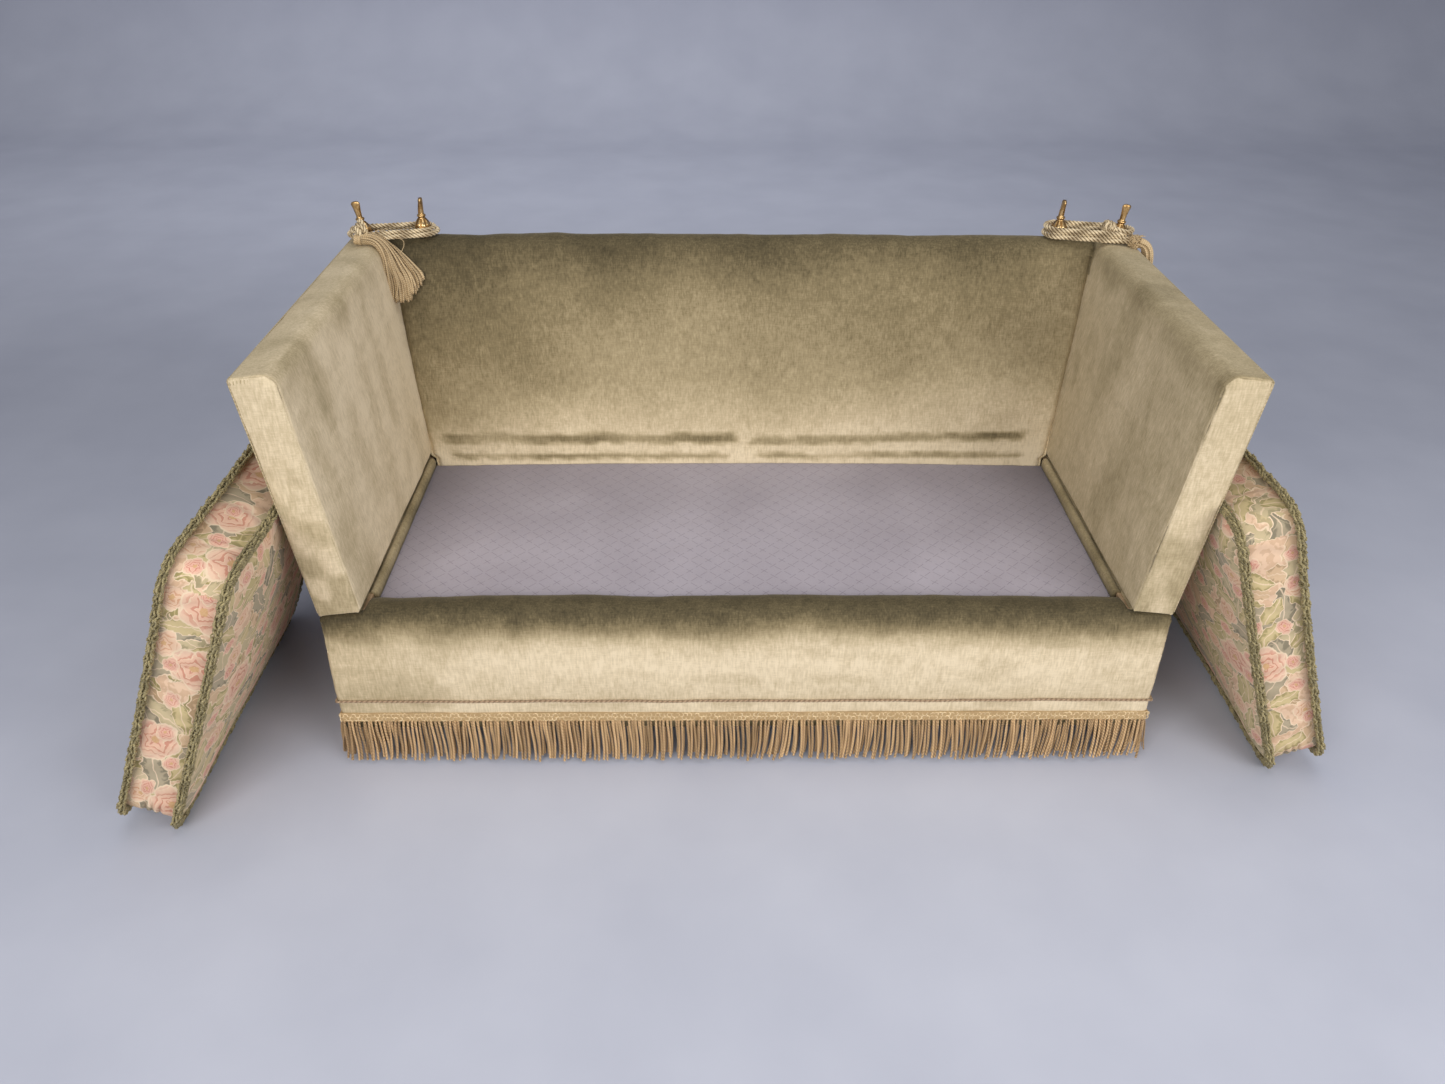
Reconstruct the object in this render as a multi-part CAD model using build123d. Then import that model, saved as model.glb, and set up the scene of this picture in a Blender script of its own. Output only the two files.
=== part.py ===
from build123d import *
import math
import os

os.makedirs("parts", exist_ok=True)

# Driving dimensions, in millimetres and degrees. While the model is built, X runs across the
# sofa from its middle, Y runs back from its front plane and Z runs up from the floor.
seat_width = 1640.0
sofa_depth = 790.0
rail_height = 363.0
arm_length_share = 0.992
arm_thickness = 82.0
arm_rear_step = 20.0
arm_lean = 6.45
back_height = 863.0
deck_front = 76.0
deck_rear_step = 176.0
soft_gap = 0.3
cut_overrun = 5.0
half_width = seat_width / 2
root_half = math.sqrt(0.5)
tiny = 1e-6

# Covers and boards of the base
front_cover = 20.0
side_cover = 5.0
rear_cover = 5.0
cover_hem_height = 85.0
board_thickness = 18.0
board_bottom = 62.0
board_top = 332.6
post_size = 45.0
seat_rail_thickness = 32.0
seat_rail_depth = 100.0
stretcher_width = 45.0
stretcher_drop = 22.0
stretcher_depth = 60.0
stretcher_shares = (-0.3, 0.3)
dust_cover_thickness = 1.5
dust_cover_inset = 8.0
border_bulge = 9.0
border_base_bulge = 7.0
border_top_round = 8.0
swing_clearance = 0.8
cord_height = 156.0
side_crease_round = 22.0
top_cover = 2.4

# Arm bearers and the stuffed lip beside the deck
bearer_reach = 84.0
lip_width = 9.0
lip_rise = 5.5
lip_flat_start = 8.0
lip_drop = 3.0
lip_bottom = 346.0

# Seat platform
web_thickness = 2.5
web_width = 55.0
web_count = 11
web_reach_share = 0.8
web_lap = 25.0
pad_gap = 0.3
pad_thickness = 9.0
cloth_edge_thickness = 2.4
deck_crown = 8.0

# Front edge roll, between the arms
roll_bottom = 335.4
roll_end_height = 365.0
roll_crown_height = 378.0
roll_crest_share = 0.36
roll_front_share = 0.33
roll_rear_height = 344.0

# Feet
foot_height = 62.0
foot_top = 52.0
foot_bottom = 40.0
foot_inset = 45.0
foot_front = 60.0
foot_rear_step = 46.0

# Back
back_foot_depth = 175.0
back_bottom = 340.0
back_brow_depth = 76.0
back_brow_drop = 31.0
back_belly = 7.0
back_crest_depth = 41.0
back_nape_drop = 21.0
back_side_gap = 1.0
back_post_thickness = 28.0
back_post_cover = 14.0
back_post_foot_depth = 122.0
back_post_top_depth = 48.0
back_post_rear_step = 12.0
back_rail_drop = 27.0
top_rail_depth = 40.0
lower_rail_thickness = 32.0
lower_rail_low = 372.0
lower_rail_high = 422.0
back_web_count = 7
back_web_reach_share = 0.66

# Arm frames, in the arm's own upright axes from the hinge pin
hinge_inset = 5.0
arm_round_outer = 8.0
arm_round_inner = 26.0
arm_round_foot = 6.0
arm_end_round = 4.0
arm_frame_outer = 3.0
arm_frame_inner = 45.0
arm_post_depth = 60.0
arm_end_cover = 8.0
arm_bottom_rail = 60.0
arm_top_rail_drop = 50.0
arm_top_cover = 20.0
arm_bottom_gap = 0.3

# Butt hinges under the arms
hinge_length = 80.0
hinge_places_share = (0.14, 0.5, 0.86)
knuckle_radius = 4.5
knuckle_count = 5
knuckle_gap = 0.3
pin_radius = 2.5
pin_clearance = 0.06
leaf_reach = 38.0
leaf_thickness = 2.0
leaf_offset = 0.4
knuckle_relief = 0.5

# Finials
finial_height = 84.0
finial_base_radius = 17.0
finial_bell_radius = 15.5
finial_shoulder_radius = 8.3
finial_collar_radius = 9.9
finial_neck_radius = 6.2
finial_base_share = 0.035
finial_bell_share = 0.47
finial_collar_share = 0.54
bud_half_width = 8.6
bud_heights_share = (0.5, 0.66, 0.78, 0.9, 1.0)
bud_widths_share = (0.58, 0.54, 0.6, 1.0, 0.5)
bud_depths_share = (0.58, 0.45, 0.46, 0.51, 0.25)
finial_stem_radius = 3.0
finial_stem_length = 42.0
stem_clearance = 0.15
finial_flutes = 6
flute_radius = 5.8
flute_offset = 17.3
flute_tilt = 14.0
flute_height_share = 0.25
arm_finial_step = 65.0
arm_finial_x = 36.0
back_finial_inset = 108.0
back_finial_step = 38.0
finial_seat_drop = 3.0

# Tie ropes
rope_diameter = 10.0
rope_rise = 10.0
rope_pitch = 11.0
rope_clearance = 1.5
left_turns = 2
right_turns = 3
gap_samples = 300
least_turn = 4

# Tassels and rope ends: how far outside the base's sides and before the back each one is
knot_radius = 12.0
neck_radius = 11.5
neck_length = 16.0
hitch_radius = 5.0
tail_run = 24.0
stub_run = 8.0
left_knot_out = 11.0
left_knot_step = 97.5
left_knot_rise = 25.5
left_neck_out = 18.0
left_neck_step = 107.0
left_neck_rise = 2.2
right_knot_in = 9.0
right_knot_step = 65.0
right_knot_rise = 21.0
left_end_way = (0.9, -0.38, 0.15)
right_end_way = (-0.3, 0.6, -0.74)
left_skirt_length = 150.0
right_skirt_length = 105.0

# Trims of the base
trim_cord_radius = 3.0
braid_low = 102.0
braid_high = 124.0
braid_thickness = 3.0
fringe_pitch = 10.8
fringe_strand = 4.4
fringe_top = 102.0
fringe_header = 5.0
fringe_header_thickness = 4.0
fringe_end = 6.0
fringe_flare = 22.0
fringe_front_flare = 27.0

# Loose cushions, leaning on the arms
cushion_height = 654.0
cushion_thickness = 115.0
cushion_length = 715.0
cushion_crown = 36.0
cushion_draw_angle = 3.4
cushion_corner = 42.0
trim_roll_radius = 8.0
left_lean = 22.8
right_lean = 21.0
left_cushion_front = -224.0
right_cushion_front = -76.0
zip_width = 9.0
zip_thickness = 2.5
zip_length = 447.0

# The model's frame has its origin on the floor, half-way between the leaning cushion's front
# and the tips of the back fringe
fringe_reach = fringe_header_thickness + soft_gap + fringe_flare
frame_depth = (left_cushion_front + sofa_depth + fringe_reach) / 2

# Places that follow from the width, the depth and the height
arm_length_up = arm_length_share * (back_height - rail_height)
arm_top_rail_low = arm_length_up - arm_top_rail_drop
back_front_top_height = back_height - back_brow_drop
back_rear_top_height = back_height - back_nape_drop
back_rail_top = back_height - back_rail_drop
finial_seat_height = back_height - finial_seat_drop
rope_lowest = finial_seat_height + rope_rise
left_knot_z = rope_lowest + left_knot_rise
left_neck_z = rope_lowest + left_neck_rise
right_knot_z = rope_lowest + right_knot_rise
foot_x = half_width - foot_inset
foot_rear = sofa_depth - foot_rear_step
bearer_inner = half_width - bearer_reach
deck_rear = sofa_depth - deck_rear_step
arm_depth = sofa_depth - arm_rear_step
web_reach = web_reach_share * half_width
back_web_reach = back_web_reach_share * half_width
back_front_bottom = sofa_depth - back_foot_depth
back_front_top = sofa_depth - back_brow_depth
back_crest = sofa_depth - back_crest_depth
back_post_front_bottom = sofa_depth - back_post_foot_depth
back_post_front_top = sofa_depth - back_post_top_depth
back_post_rear = sofa_depth - back_post_rear_step
arm_finial_y = sofa_depth - arm_finial_step
back_finial_x = half_width - back_finial_inset
back_finial_y = sofa_depth - back_finial_step
left_knot_x = -half_width - left_knot_out
left_knot_y = sofa_depth - left_knot_step
left_neck_x = -half_width - left_neck_out
left_neck_y = sofa_depth - left_neck_step
right_knot_x = half_width - right_knot_in
right_knot_y = sofa_depth - right_knot_step

side_names = {1: "right", -1: "left"}
hinge_x = half_width - hinge_inset
arm_place = Pos(hinge_x, 0, rail_height) * Rot(0, arm_lean, 0)
wood_x = half_width - side_cover
wood_rear = sofa_depth - rear_cover
arm_inner = arm_thickness - hinge_inset


def block(low, high):
    """A box between two corners."""
    size = [h - l for l, h in zip(low, high)]
    middle = [(h + l) / 2 for l, h in zip(low, high)]
    return Pos(*middle) * Box(*size)


def mirrored(shape):
    """The same piece on the other side of the sofa."""
    return mirror(shape, about=Plane.YZ)


def on_side(side, shape):
    return shape if side > 0 else mirrored(shape)


def joined(pieces):
    """A node of separate solids."""
    solids = []
    for piece in pieces:
        solids.extend(piece.solids())
    return Compound(solids)


def outline(edges):
    return make_face(Wire(edges))


def xz_prism(edges, y_low, y_high):
    """An outline in the XZ plane carried from y_low to y_high."""
    return Pos(0, y_low, 0) * extrude(outline(edges), y_high - y_low, dir=(0, 1, 0))


def yz_prism(edges, x_low, x_high):
    """An outline in the YZ plane carried from x_low to x_high."""
    return Pos(x_low, 0, 0) * extrude(outline(edges), x_high - x_low, dir=(1, 0, 0))


def polygon(points):
    return [Line(a, b) for a, b in zip(points, points[1:] + points[:1])]


def beyond_arm_plane(inset):
    """All that lies outward of a plane parallel to the right arm's inner face."""
    reach = half_width
    slab = block((-inset, -reach, -reach), (reach, 2 * reach, reach))
    return arm_place * slab


# Base frame

def base_boards_side():
    right = block((wood_x - board_thickness, front_cover, board_bottom), (wood_x, wood_rear, board_top))
    return joined([right, mirrored(right)])


def base_board(y_low):
    reach = wood_x - board_thickness
    return block((-reach, y_low, board_bottom), (reach, y_low + board_thickness, board_top))


post_outer = wood_x - board_thickness
post_inner = post_outer - post_size
front_rail_y = front_cover + board_thickness
rear_rail_y = wood_rear - board_thickness - seat_rail_thickness


def corner_posts():
    rear = wood_rear - board_thickness
    front = front_cover + board_thickness
    ends = [(front, front + post_size), (rear - post_size, rear)]
    right = [block((post_inner, a, board_bottom), (post_outer, b, board_top)) for a, b in ends]
    return joined(right + [mirrored(post) for post in right])


def seat_rail(y_low):
    low = (-post_inner, y_low, board_top - seat_rail_depth)
    return block(low, (post_inner, y_low + seat_rail_thickness, board_top))


def seat_stretchers():
    top = board_top - stretcher_drop
    pieces = []
    for share in stretcher_shares:
        x = share * half_width
        low = (x - stretcher_width / 2, front_rail_y + seat_rail_thickness, top - stretcher_depth)
        pieces.append(block(low, (x + stretcher_width / 2, rear_rail_y, top)))
    return joined(pieces)


bearer_top = rail_height - top_cover


def crease_edges(outer, top, low, inner, radius):
    """The outer, rounded top corner of a side piece, from its low outer point to its top."""
    middle = (outer - radius, top - radius)
    arc_mid = (middle[0] + radius * root_half, 0, middle[1] + radius * root_half)
    start = (outer, 0, top - radius)
    end = (outer - radius, 0, top)
    edges = [Line((outer, 0, low), start), ThreePointArc(start, arc_mid, end)]
    return edges + [Line(end, (inner, 0, top))]


def arm_bearers():
    radius = side_crease_round - side_cover + top_cover / 2
    edges = crease_edges(wood_x, bearer_top, board_top, bearer_inner, radius)
    edges.append(Line((bearer_inner, 0, bearer_top), (bearer_inner, 0, board_top)))
    edges.append(Line((bearer_inner, 0, board_top), (wood_x, 0, board_top)))
    right = xz_prism(edges, front_cover, wood_rear)
    return joined([right, mirrored(right)])


def foot(x, y):
    top = Pos(x, y, foot_height) * Rectangle(foot_top, foot_top)
    bottom = Pos(x, y, 0) * Rectangle(foot_bottom, foot_bottom)
    return loft([bottom, top], ruled=True)


def feet():
    places = [(sx * foot_x, y) for sx in (-1, 1) for y in (foot_front, foot_rear)]
    return joined([foot(x, y) for x, y in places])


def dust_cover():
    reach = wood_x - dust_cover_inset
    low = (-reach, front_cover + dust_cover_inset, board_bottom - dust_cover_thickness)
    sheet = block(low, (reach, wood_rear - dust_cover_inset, board_bottom))
    for sx in (-1, 1):
        for y in (foot_front, foot_rear):
            sheet -= Pos(sx * foot_x, y, foot_height) * Box(foot_top, foot_top, foot_height)
    return sheet


# Velvet covers of the base

def border_cover():
    """The front border, full width, dropped between the arms for the edge roll."""
    top = rail_height - soft_gap
    mid_height = (roll_bottom + cord_height) / 2
    front_arc = ThreePointArc(
        (0, 0, top - border_top_round),
        (0, -border_bulge, mid_height),
        (0, -border_base_bulge, cord_height),
    )
    round_mid = border_top_round * (1 - root_half)
    top_arc = ThreePointArc(
        (0, border_top_round, top),
        (0, round_mid, top - round_mid),
        (0, 0, top - border_top_round),
    )
    edges = [
        Line((0, front_cover, cover_hem_height), (0, front_cover, top)),
        Line((0, front_cover, top), (0, border_top_round, top)),
        top_arc,
        front_arc,
        Line((0, -border_base_bulge, cord_height), (0, -border_base_bulge, cover_hem_height)),
        Line((0, -border_base_bulge, cover_hem_height), (0, front_cover, cover_hem_height)),
    ]
    cover = yz_prism(edges, -half_width, half_width)
    dip_low = (-bearer_inner, -2 * border_bulge, roll_bottom)
    cover -= block(dip_low, (bearer_inner, sofa_depth, back_height))
    swing = Pos(hinge_x, 0, rail_height) * Rot(90, 0, 0)
    swing = swing * Cylinder(hinge_inset + swing_clearance, 2 * sofa_depth)
    return cover - swing - mirrored(swing)


def roll_section(x, crest):
    rear = deck_front - soft_gap
    crest_y = roll_crest_share * rear
    front = (x, -border_bulge * roll_front_share, roll_bottom)
    back = (x, rear, roll_rear_height)
    edges = [
        ThreePointArc(front, (x, crest_y, crest), back),
        Line(back, (x, rear, roll_bottom)),
        Line((x, rear, roll_bottom), front),
    ]
    return outline(edges)


def edge_roll():
    reach = bearer_inner
    stations = [(-reach, roll_end_height), (0, roll_crown_height), (reach, roll_end_height)]
    return loft([roll_section(x, crest) for x, crest in stations])


def side_cover_shell():
    """Right side cover: outer wall, crease, top under the arm, and the lip beside the deck."""
    inner = bearer_inner - lip_width
    flat_end = bearer_inner + lip_flat_start
    lip_top = (bearer_inner, 0, rail_height + lip_rise)
    edges = crease_edges(half_width, rail_height, cover_hem_height, flat_end, side_crease_round)
    edges.append(ThreePointArc((flat_end, 0, rail_height), lip_top, (inner, 0, rail_height - lip_drop)))
    edges.append(Line((inner, 0, rail_height - lip_drop), (inner, 0, lip_bottom)))
    edges.append(Line((inner, 0, lip_bottom), (bearer_inner, 0, lip_bottom)))
    edges.append(Line((bearer_inner, 0, lip_bottom), (bearer_inner, 0, bearer_top)))
    radius = side_crease_round - side_cover + top_cover / 2
    inner_edges = crease_edges(wood_x, bearer_top, cover_hem_height, bearer_inner, radius)
    edges.extend(inner_edges)
    edges.append(Line((wood_x, 0, cover_hem_height), (half_width, 0, cover_hem_height)))
    shell = xz_prism(edges, front_cover, wood_rear)
    shell -= block((0, 0, cover_hem_height), (bearer_inner, deck_front, back_height))
    for y in hinge_centres():
        reach = hinge_length / 2 + soft_gap
        low = (hinge_x - leaf_reach - soft_gap, y - reach, bearer_top)
        shell -= block(low, (half_width + cut_overrun, y + reach, rail_height + lip_rise))
    return shell


def outer_back_panel():
    foot_low = (-half_width, wood_rear, cover_hem_height)
    base = block(foot_low, (half_width, sofa_depth, rail_height - soft_gap))
    top_low = (-half_width - arm_thickness, wood_rear, rail_height - soft_gap)
    upper = block(top_low, (half_width + arm_thickness, sofa_depth, back_rear_top_height))
    trim = beyond_arm_plane(arm_inner + back_side_gap)
    return base + (upper - trim - mirrored(trim))


# Seat platform

def seat_webbing():
    y_low = front_rail_y + seat_rail_thickness - web_lap
    y_high = rear_rail_y + web_lap
    straps = []
    for i in range(web_count):
        x = web_reach * (2 * i / (web_count - 1) - 1)
        low = (x - web_width / 2, y_low, board_top)
        straps.append(block(low, (x + web_width / 2, y_high, board_top + web_thickness)))
    return joined(straps)


pad_bottom = board_top + web_thickness + pad_gap
pad_top = pad_bottom + pad_thickness
deck_reach = bearer_inner - lip_width - soft_gap


def platform_pad():
    reach = post_inner - post_size
    return block((-reach, deck_front, pad_bottom), (reach, deck_rear, pad_top))


def platform_cloth():
    low = pad_top + pad_gap
    edge = low + cloth_edge_thickness
    edges = [
        Line((-deck_reach, 0, low), (-deck_reach, 0, edge)),
        ThreePointArc((-deck_reach, 0, edge), (0, 0, edge + deck_crown), (deck_reach, 0, edge)),
        Line((deck_reach, 0, edge), (deck_reach, 0, low)),
        Line((deck_reach, 0, low), (-deck_reach, 0, low)),
    ]
    return xz_prism(edges, deck_front, deck_rear)


# Back

def rake(z):
    """The raked front line of the back's frame."""
    rise = (z - board_top) / (back_rail_top - board_top)
    return back_post_front_bottom + rise * (back_post_front_top - back_post_front_bottom)


def raked_prism(z_low, z_high, front_proud, rear_low, rear_high):
    """A full-width piece whose front follows the rake, proud of it by a thickness."""
    points = [
        (0, rake(z_low) - front_proud, z_low),
        (0, rear_low, z_low),
        (0, rear_high, z_high),
        (0, rake(z_high) - front_proud, z_high),
    ]
    reach = half_width + arm_thickness
    return yz_prism(polygon(points), -reach, reach)


def between_arms(shape, inset):
    """Cuts a full-width piece off at planes inside and parallel to the arms' inner faces."""
    trim = beyond_arm_plane(arm_inner + back_side_gap + inset)
    return shape - trim - mirrored(trim)


def back_post():
    post = raked_prism(board_top, back_rail_top, 0, back_post_rear, back_post_rear)
    outer = arm_inner + back_side_gap + back_post_cover
    return (post & beyond_arm_plane(outer + back_post_thickness)) - beyond_arm_plane(outer)


def back_top_rail():
    rail = raked_prism(back_rail_top - top_rail_depth, back_rail_top, 0, back_post_rear, back_post_rear)
    return between_arms(rail, back_post_cover + back_post_thickness) - back_stem_holes()


def back_lower_rail():
    rear = rake(lower_rail_high) + lower_rail_thickness
    rail = raked_prism(lower_rail_low, lower_rail_high, 0, rear, rear)
    return between_arms(rail, back_post_cover + back_post_thickness)


def back_webbing():
    low, high = lower_rail_low, back_rail_top
    sheet = raked_prism(low, high, web_thickness, rake(low), rake(high))
    straps = []
    for i in range(back_web_count):
        x = back_web_reach * (2 * i / (back_web_count - 1) - 1)
        slice_low = (x - web_width / 2, 0, 0)
        straps.append(sheet & block(slice_low, (x + web_width / 2, sofa_depth, back_height)))
    return joined(straps)


def back_outline():
    foot = (0, back_front_bottom, back_bottom)
    brow = (0, back_front_top, back_front_top_height)
    nape = (0, wood_rear, back_rear_top_height)
    crest = (0, back_crest, back_height)
    belly_y = (back_front_bottom + back_front_top) / 2 - back_belly
    belly_z = (back_bottom + back_front_top_height) / 2
    return [
        ThreePointArc(foot, (0, belly_y, belly_z), brow),
        ThreePointArc(brow, crest, nape),
        Line(nape, (0, wood_rear, back_bottom)),
        Line((0, wood_rear, back_bottom), foot),
    ]


def back_stem_holes():
    depth = finial_stem_length + stem_clearance
    hole = Pos(back_finial_x, back_finial_y, finial_seat_height - depth / 2)
    hole = hole * Cylinder(finial_stem_radius + stem_clearance, depth)
    return hole + mirrored(hole)


def back_upholstery():
    """The stuffed front, brow and sides round the hollow that holds the back's frame."""
    reach = half_width + arm_thickness
    body = between_arms(yz_prism(back_outline(), -reach, reach), 0)
    rear = wood_rear + cut_overrun
    hollow = raked_prism(board_top, back_rail_top, web_thickness, rear, rear)
    body -= between_arms(hollow, back_post_cover)
    seat = Pos(back_finial_x, back_finial_y, finial_seat_height)
    seat = seat * Cylinder(
        finial_base_radius + soft_gap, back_height, align=(Align.CENTER, Align.CENTER, Align.MIN)
    )
    notch_low = (bearer_inner - lip_width - soft_gap, 0, 0)
    notch = block(notch_low, (sofa_depth * 2, sofa_depth, rail_height + lip_rise + soft_gap))
    for cut in (seat, notch):
        body = body - cut - mirrored(cut)
    return body - back_stem_holes()


# Arms, built upright at the hinge pin and then leaned

def arm_outline():
    points = [
        (hinge_inset, 0, arm_bottom_gap),
        (hinge_inset, 0, arm_length_up),
        (-arm_inner, 0, arm_length_up),
        (-arm_inner, 0, arm_bottom_gap),
    ]
    radii = [arm_round_foot, arm_round_outer, arm_round_inner, arm_round_outer]
    return FilletPolyline(*points, radius=radii, close=True).edges()


def arm_members():
    """Bottom rail, top rail, front post and rear post of the right arm."""
    y_low = arm_end_cover
    y_high = arm_depth - arm_end_cover
    rail_top = arm_length_up - arm_top_cover
    x = (-arm_frame_inner, -arm_frame_outer)
    bottom = block((x[0], y_low, arm_bottom_gap), (x[1], y_high, arm_bottom_rail))
    top = block((x[0], y_low, arm_top_rail_low), (x[1], y_high, rail_top))
    posts = []
    for start in (y_low, y_high - arm_post_depth):
        low = (x[0], start, arm_bottom_rail)
        posts.append(block(low, (x[1], start + arm_post_depth, arm_top_rail_low)))
    return bottom, top, posts


def hinge_centres():
    return [share * arm_depth for share in hinge_places_share]


def hinge_mortises():
    """What the hinges take out of the arm's foot."""
    cuts = []
    for y in hinge_centres():
        reach = hinge_length / 2 + soft_gap
        low = (-leaf_reach - soft_gap, y - reach, 0)
        high = (hinge_inset + cut_overrun, y + reach, leaf_offset + leaf_thickness)
        barrel = Cylinder(knuckle_radius + knuckle_relief, 2 * reach)
        cuts.append(block(low, high) + Pos(0, y, 0) * Rot(90, 0, 0) * barrel)
    return cuts


def arm_stem_hole():
    depth = finial_stem_length + stem_clearance
    place = Pos(-arm_finial_x, arm_finial_y, arm_length_up - depth / 2)
    return place * Cylinder(finial_stem_radius + stem_clearance, depth)


def arm_rails():
    bottom, top, _ = arm_members()
    for cut in hinge_mortises():
        bottom -= cut
    return arm_place * joined([bottom, top - arm_stem_hole()])


def arm_posts():
    _, _, posts = arm_members()
    return arm_place * joined(posts)


def arm_upholstery():
    body = xz_prism(arm_outline(), 0, arm_depth)
    ends = body.faces().filter_by(Axis.Y)
    body = fillet(ends.edges(), arm_end_round)
    bottom, top, posts = arm_members()
    for piece in [bottom, top] + posts:
        body -= piece
    for cut in hinge_mortises():
        body -= cut
    return arm_place * (body - arm_stem_hole())


# Hinges

def knuckle_spans(fixed):
    pitch = hinge_length / knuckle_count
    spans = []
    for i in range(knuckle_count):
        if (i % 2 == 0) == fixed:
            start = -hinge_length / 2 + i * pitch
            spans.append((start + knuckle_gap / 2, start + pitch - knuckle_gap / 2))
    return spans


def hinge_leaf(fixed):
    """One leaf and its knuckles, about a pin along Y through the origin."""
    low = -leaf_offset - leaf_thickness if fixed else leaf_offset
    clear = knuckle_radius + knuckle_relief
    plate_low = (-leaf_reach, -hinge_length / 2, low)
    leaf = block(plate_low, (-clear, hinge_length / 2, low + leaf_thickness))
    for start, end in knuckle_spans(fixed):
        leaf += block((-clear, start, low), (0, end, low + leaf_thickness))
        turn = Pos(0, (start + end) / 2, 0) * Rot(90, 0, 0)
        leaf += turn * Cylinder(knuckle_radius, end - start)
    bore = Rot(90, 0, 0) * Cylinder(pin_radius + pin_clearance, 2 * hinge_length)
    return leaf - bore


def hinge_leaves(fixed):
    place = Pos(hinge_x, 0, rail_height) if fixed else arm_place
    leaf = hinge_leaf(fixed)
    return [place * Pos(0, y, 0) * leaf for y in hinge_centres()]


def hinge_pins():
    pin = Rot(90, 0, 0) * Cylinder(pin_radius, hinge_length)
    right = [Pos(hinge_x, y, rail_height) * pin for y in hinge_centres()]
    return joined(right + [mirrored(p) for p in right])


def hinge_fixed_leaves():
    right = hinge_leaves(True)
    return joined(right + [mirrored(leaf) for leaf in right])


# Finials

def finial():
    """A fluted bell on a round foot, a collar, a waisted neck and a flattened bud."""
    h = finial_height
    base_top = finial_base_share * h
    bell_top = finial_bell_share * h
    collar_top = finial_collar_share * h
    profile = [
        Line((0, 0, 0), (finial_base_radius, 0, 0)),
        Line((finial_base_radius, 0, 0), (finial_base_radius, 0, base_top)),
        ThreePointArc(
            (finial_base_radius, 0, base_top),
            (finial_bell_radius, 0, bell_top / 2),
            (finial_shoulder_radius, 0, bell_top),
        ),
        ThreePointArc(
            (finial_shoulder_radius, 0, bell_top),
            (finial_collar_radius, 0, (bell_top + collar_top) / 2),
            (finial_neck_radius, 0, collar_top),
        ),
        Line((finial_neck_radius, 0, collar_top), (0, 0, collar_top)),
        Line((0, 0, collar_top), (0, 0, 0)),
    ]
    bell = revolve(outline(profile), Axis.Z)
    for i in range(finial_flutes):
        flute = Pos(flute_offset, 0, flute_height_share * h) * Rot(0, -flute_tilt, 0) * Sphere(flute_radius)
        bell -= Rot(0, 0, 360 * (i + 0.5) / finial_flutes) * flute
    sections = []
    for rise, wide, deep in zip(bud_heights_share, bud_widths_share, bud_depths_share):
        ring = Ellipse(wide * bud_half_width, deep * bud_half_width)
        sections.append(Pos(0, 0, rise * h) * ring)
    stem = Pos(0, 0, -finial_stem_length / 2) * Cylinder(finial_stem_radius, finial_stem_length)
    return bell + loft(sections) + stem


def back_finial():
    return Pos(back_finial_x, back_finial_y, finial_seat_height) * Rot(0, 0, 90) * finial()


def arm_finial():
    return arm_place * Pos(-arm_finial_x, arm_finial_y, arm_length_up) * finial()


# Tie ropes: level windings about the two finials, swept on pairs of arcs

def biarc(p0, t0, p1, t1):
    """Two arcs that leave p0 along t0 and reach p1 along t1."""
    v = p1 - p0
    t = t0 + t1
    a = 2 * (1 - t0.dot(t1))
    b = v.dot(t)
    if a < tiny:
        d = v.dot(v) / (4 * v.dot(t0))
    else:
        d = (math.sqrt(b * b + a * v.dot(v)) - b) / a
    q0 = p0 + t0 * d
    q1 = p1 - t1 * d
    middle = (q0 + q1) * 0.5
    tangent = (q1 - q0).normalized()
    return [TangentArc(p0, middle, tangent=t0), TangentArc(middle, p1, tangent=tangent)]


def winding_stations(arm_post, back_post_place, turns):
    """Points and directions of a winding that climbs evenly round two posts."""
    a = Vector(*arm_post)
    b = Vector(*back_post_place)
    along = (b - a).normalized()
    front = Vector(along.Y, -along.X, 0)
    if front.Y > 0:
        front = front * -1
    radius = finial_base_radius + rope_diameter / 2 + rope_clearance
    span = (b - a).length
    ring = [
        (a + front * radius, along, 0),
        (b + front * radius, along, span),
        (b + along * radius, front * -1, radius * math.pi / 2),
        (b - front * radius, along * -1, radius * math.pi / 2),
        (a - front * radius, along * -1, span),
        (a - along * radius, front, radius * math.pi / 2),
    ]
    lap = 2 * span + 2 * math.pi * radius
    slope = rope_pitch / lap
    stations = []
    z = rope_lowest
    for turn in range(turns):
        for i, (point, way, step) in enumerate(ring):
            if i == 0 and turn > 0:
                step = radius * math.pi / 2
            z += slope * step
            stations.append((Vector(point.X, point.Y, z), Vector(way.X, way.Y, slope).normalized()))
    end = stations[0][0]
    z += slope * radius * math.pi / 2
    stations.append((Vector(end.X, end.Y, z), stations[0][1]))
    return stations


def tube_along(edges):
    wire = Wire(edges)
    start = Plane(wire.position_at(0), z_dir=wire.tangent_at(0))
    tube = sweep(start * Circle(rope_diameter / 2), path=wire)
    section = math.pi * rope_diameter ** 2 / 4
    ratio = tube.volume / (section * wire.length)
    return tube, wire, ratio


def rope_edges(stations):
    edges = []
    for (p0, t0), (p1, t1) in zip(stations, stations[1:]):
        if (p1 - p0).normalized().cross(t0).length < tiny:
            edges.append(Line(p0, p1))
        else:
            edges.extend(biarc(p0, t0, p1, t1))
    return edges


def least_self_gap(wire):
    """Least distance between the tube's surfaces, one turn apart or more, by sampled points."""
    points = [wire.position_at(i / gap_samples) for i in range(gap_samples + 1)]
    step = wire.length / gap_samples
    skip = int(least_turn * rope_diameter / step)
    least = min(
        (points[i] - points[j]).length
        for i in range(gap_samples + 1)
        for j in range(i + skip, gap_samples + 1)
    )
    return least - rope_diameter


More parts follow.
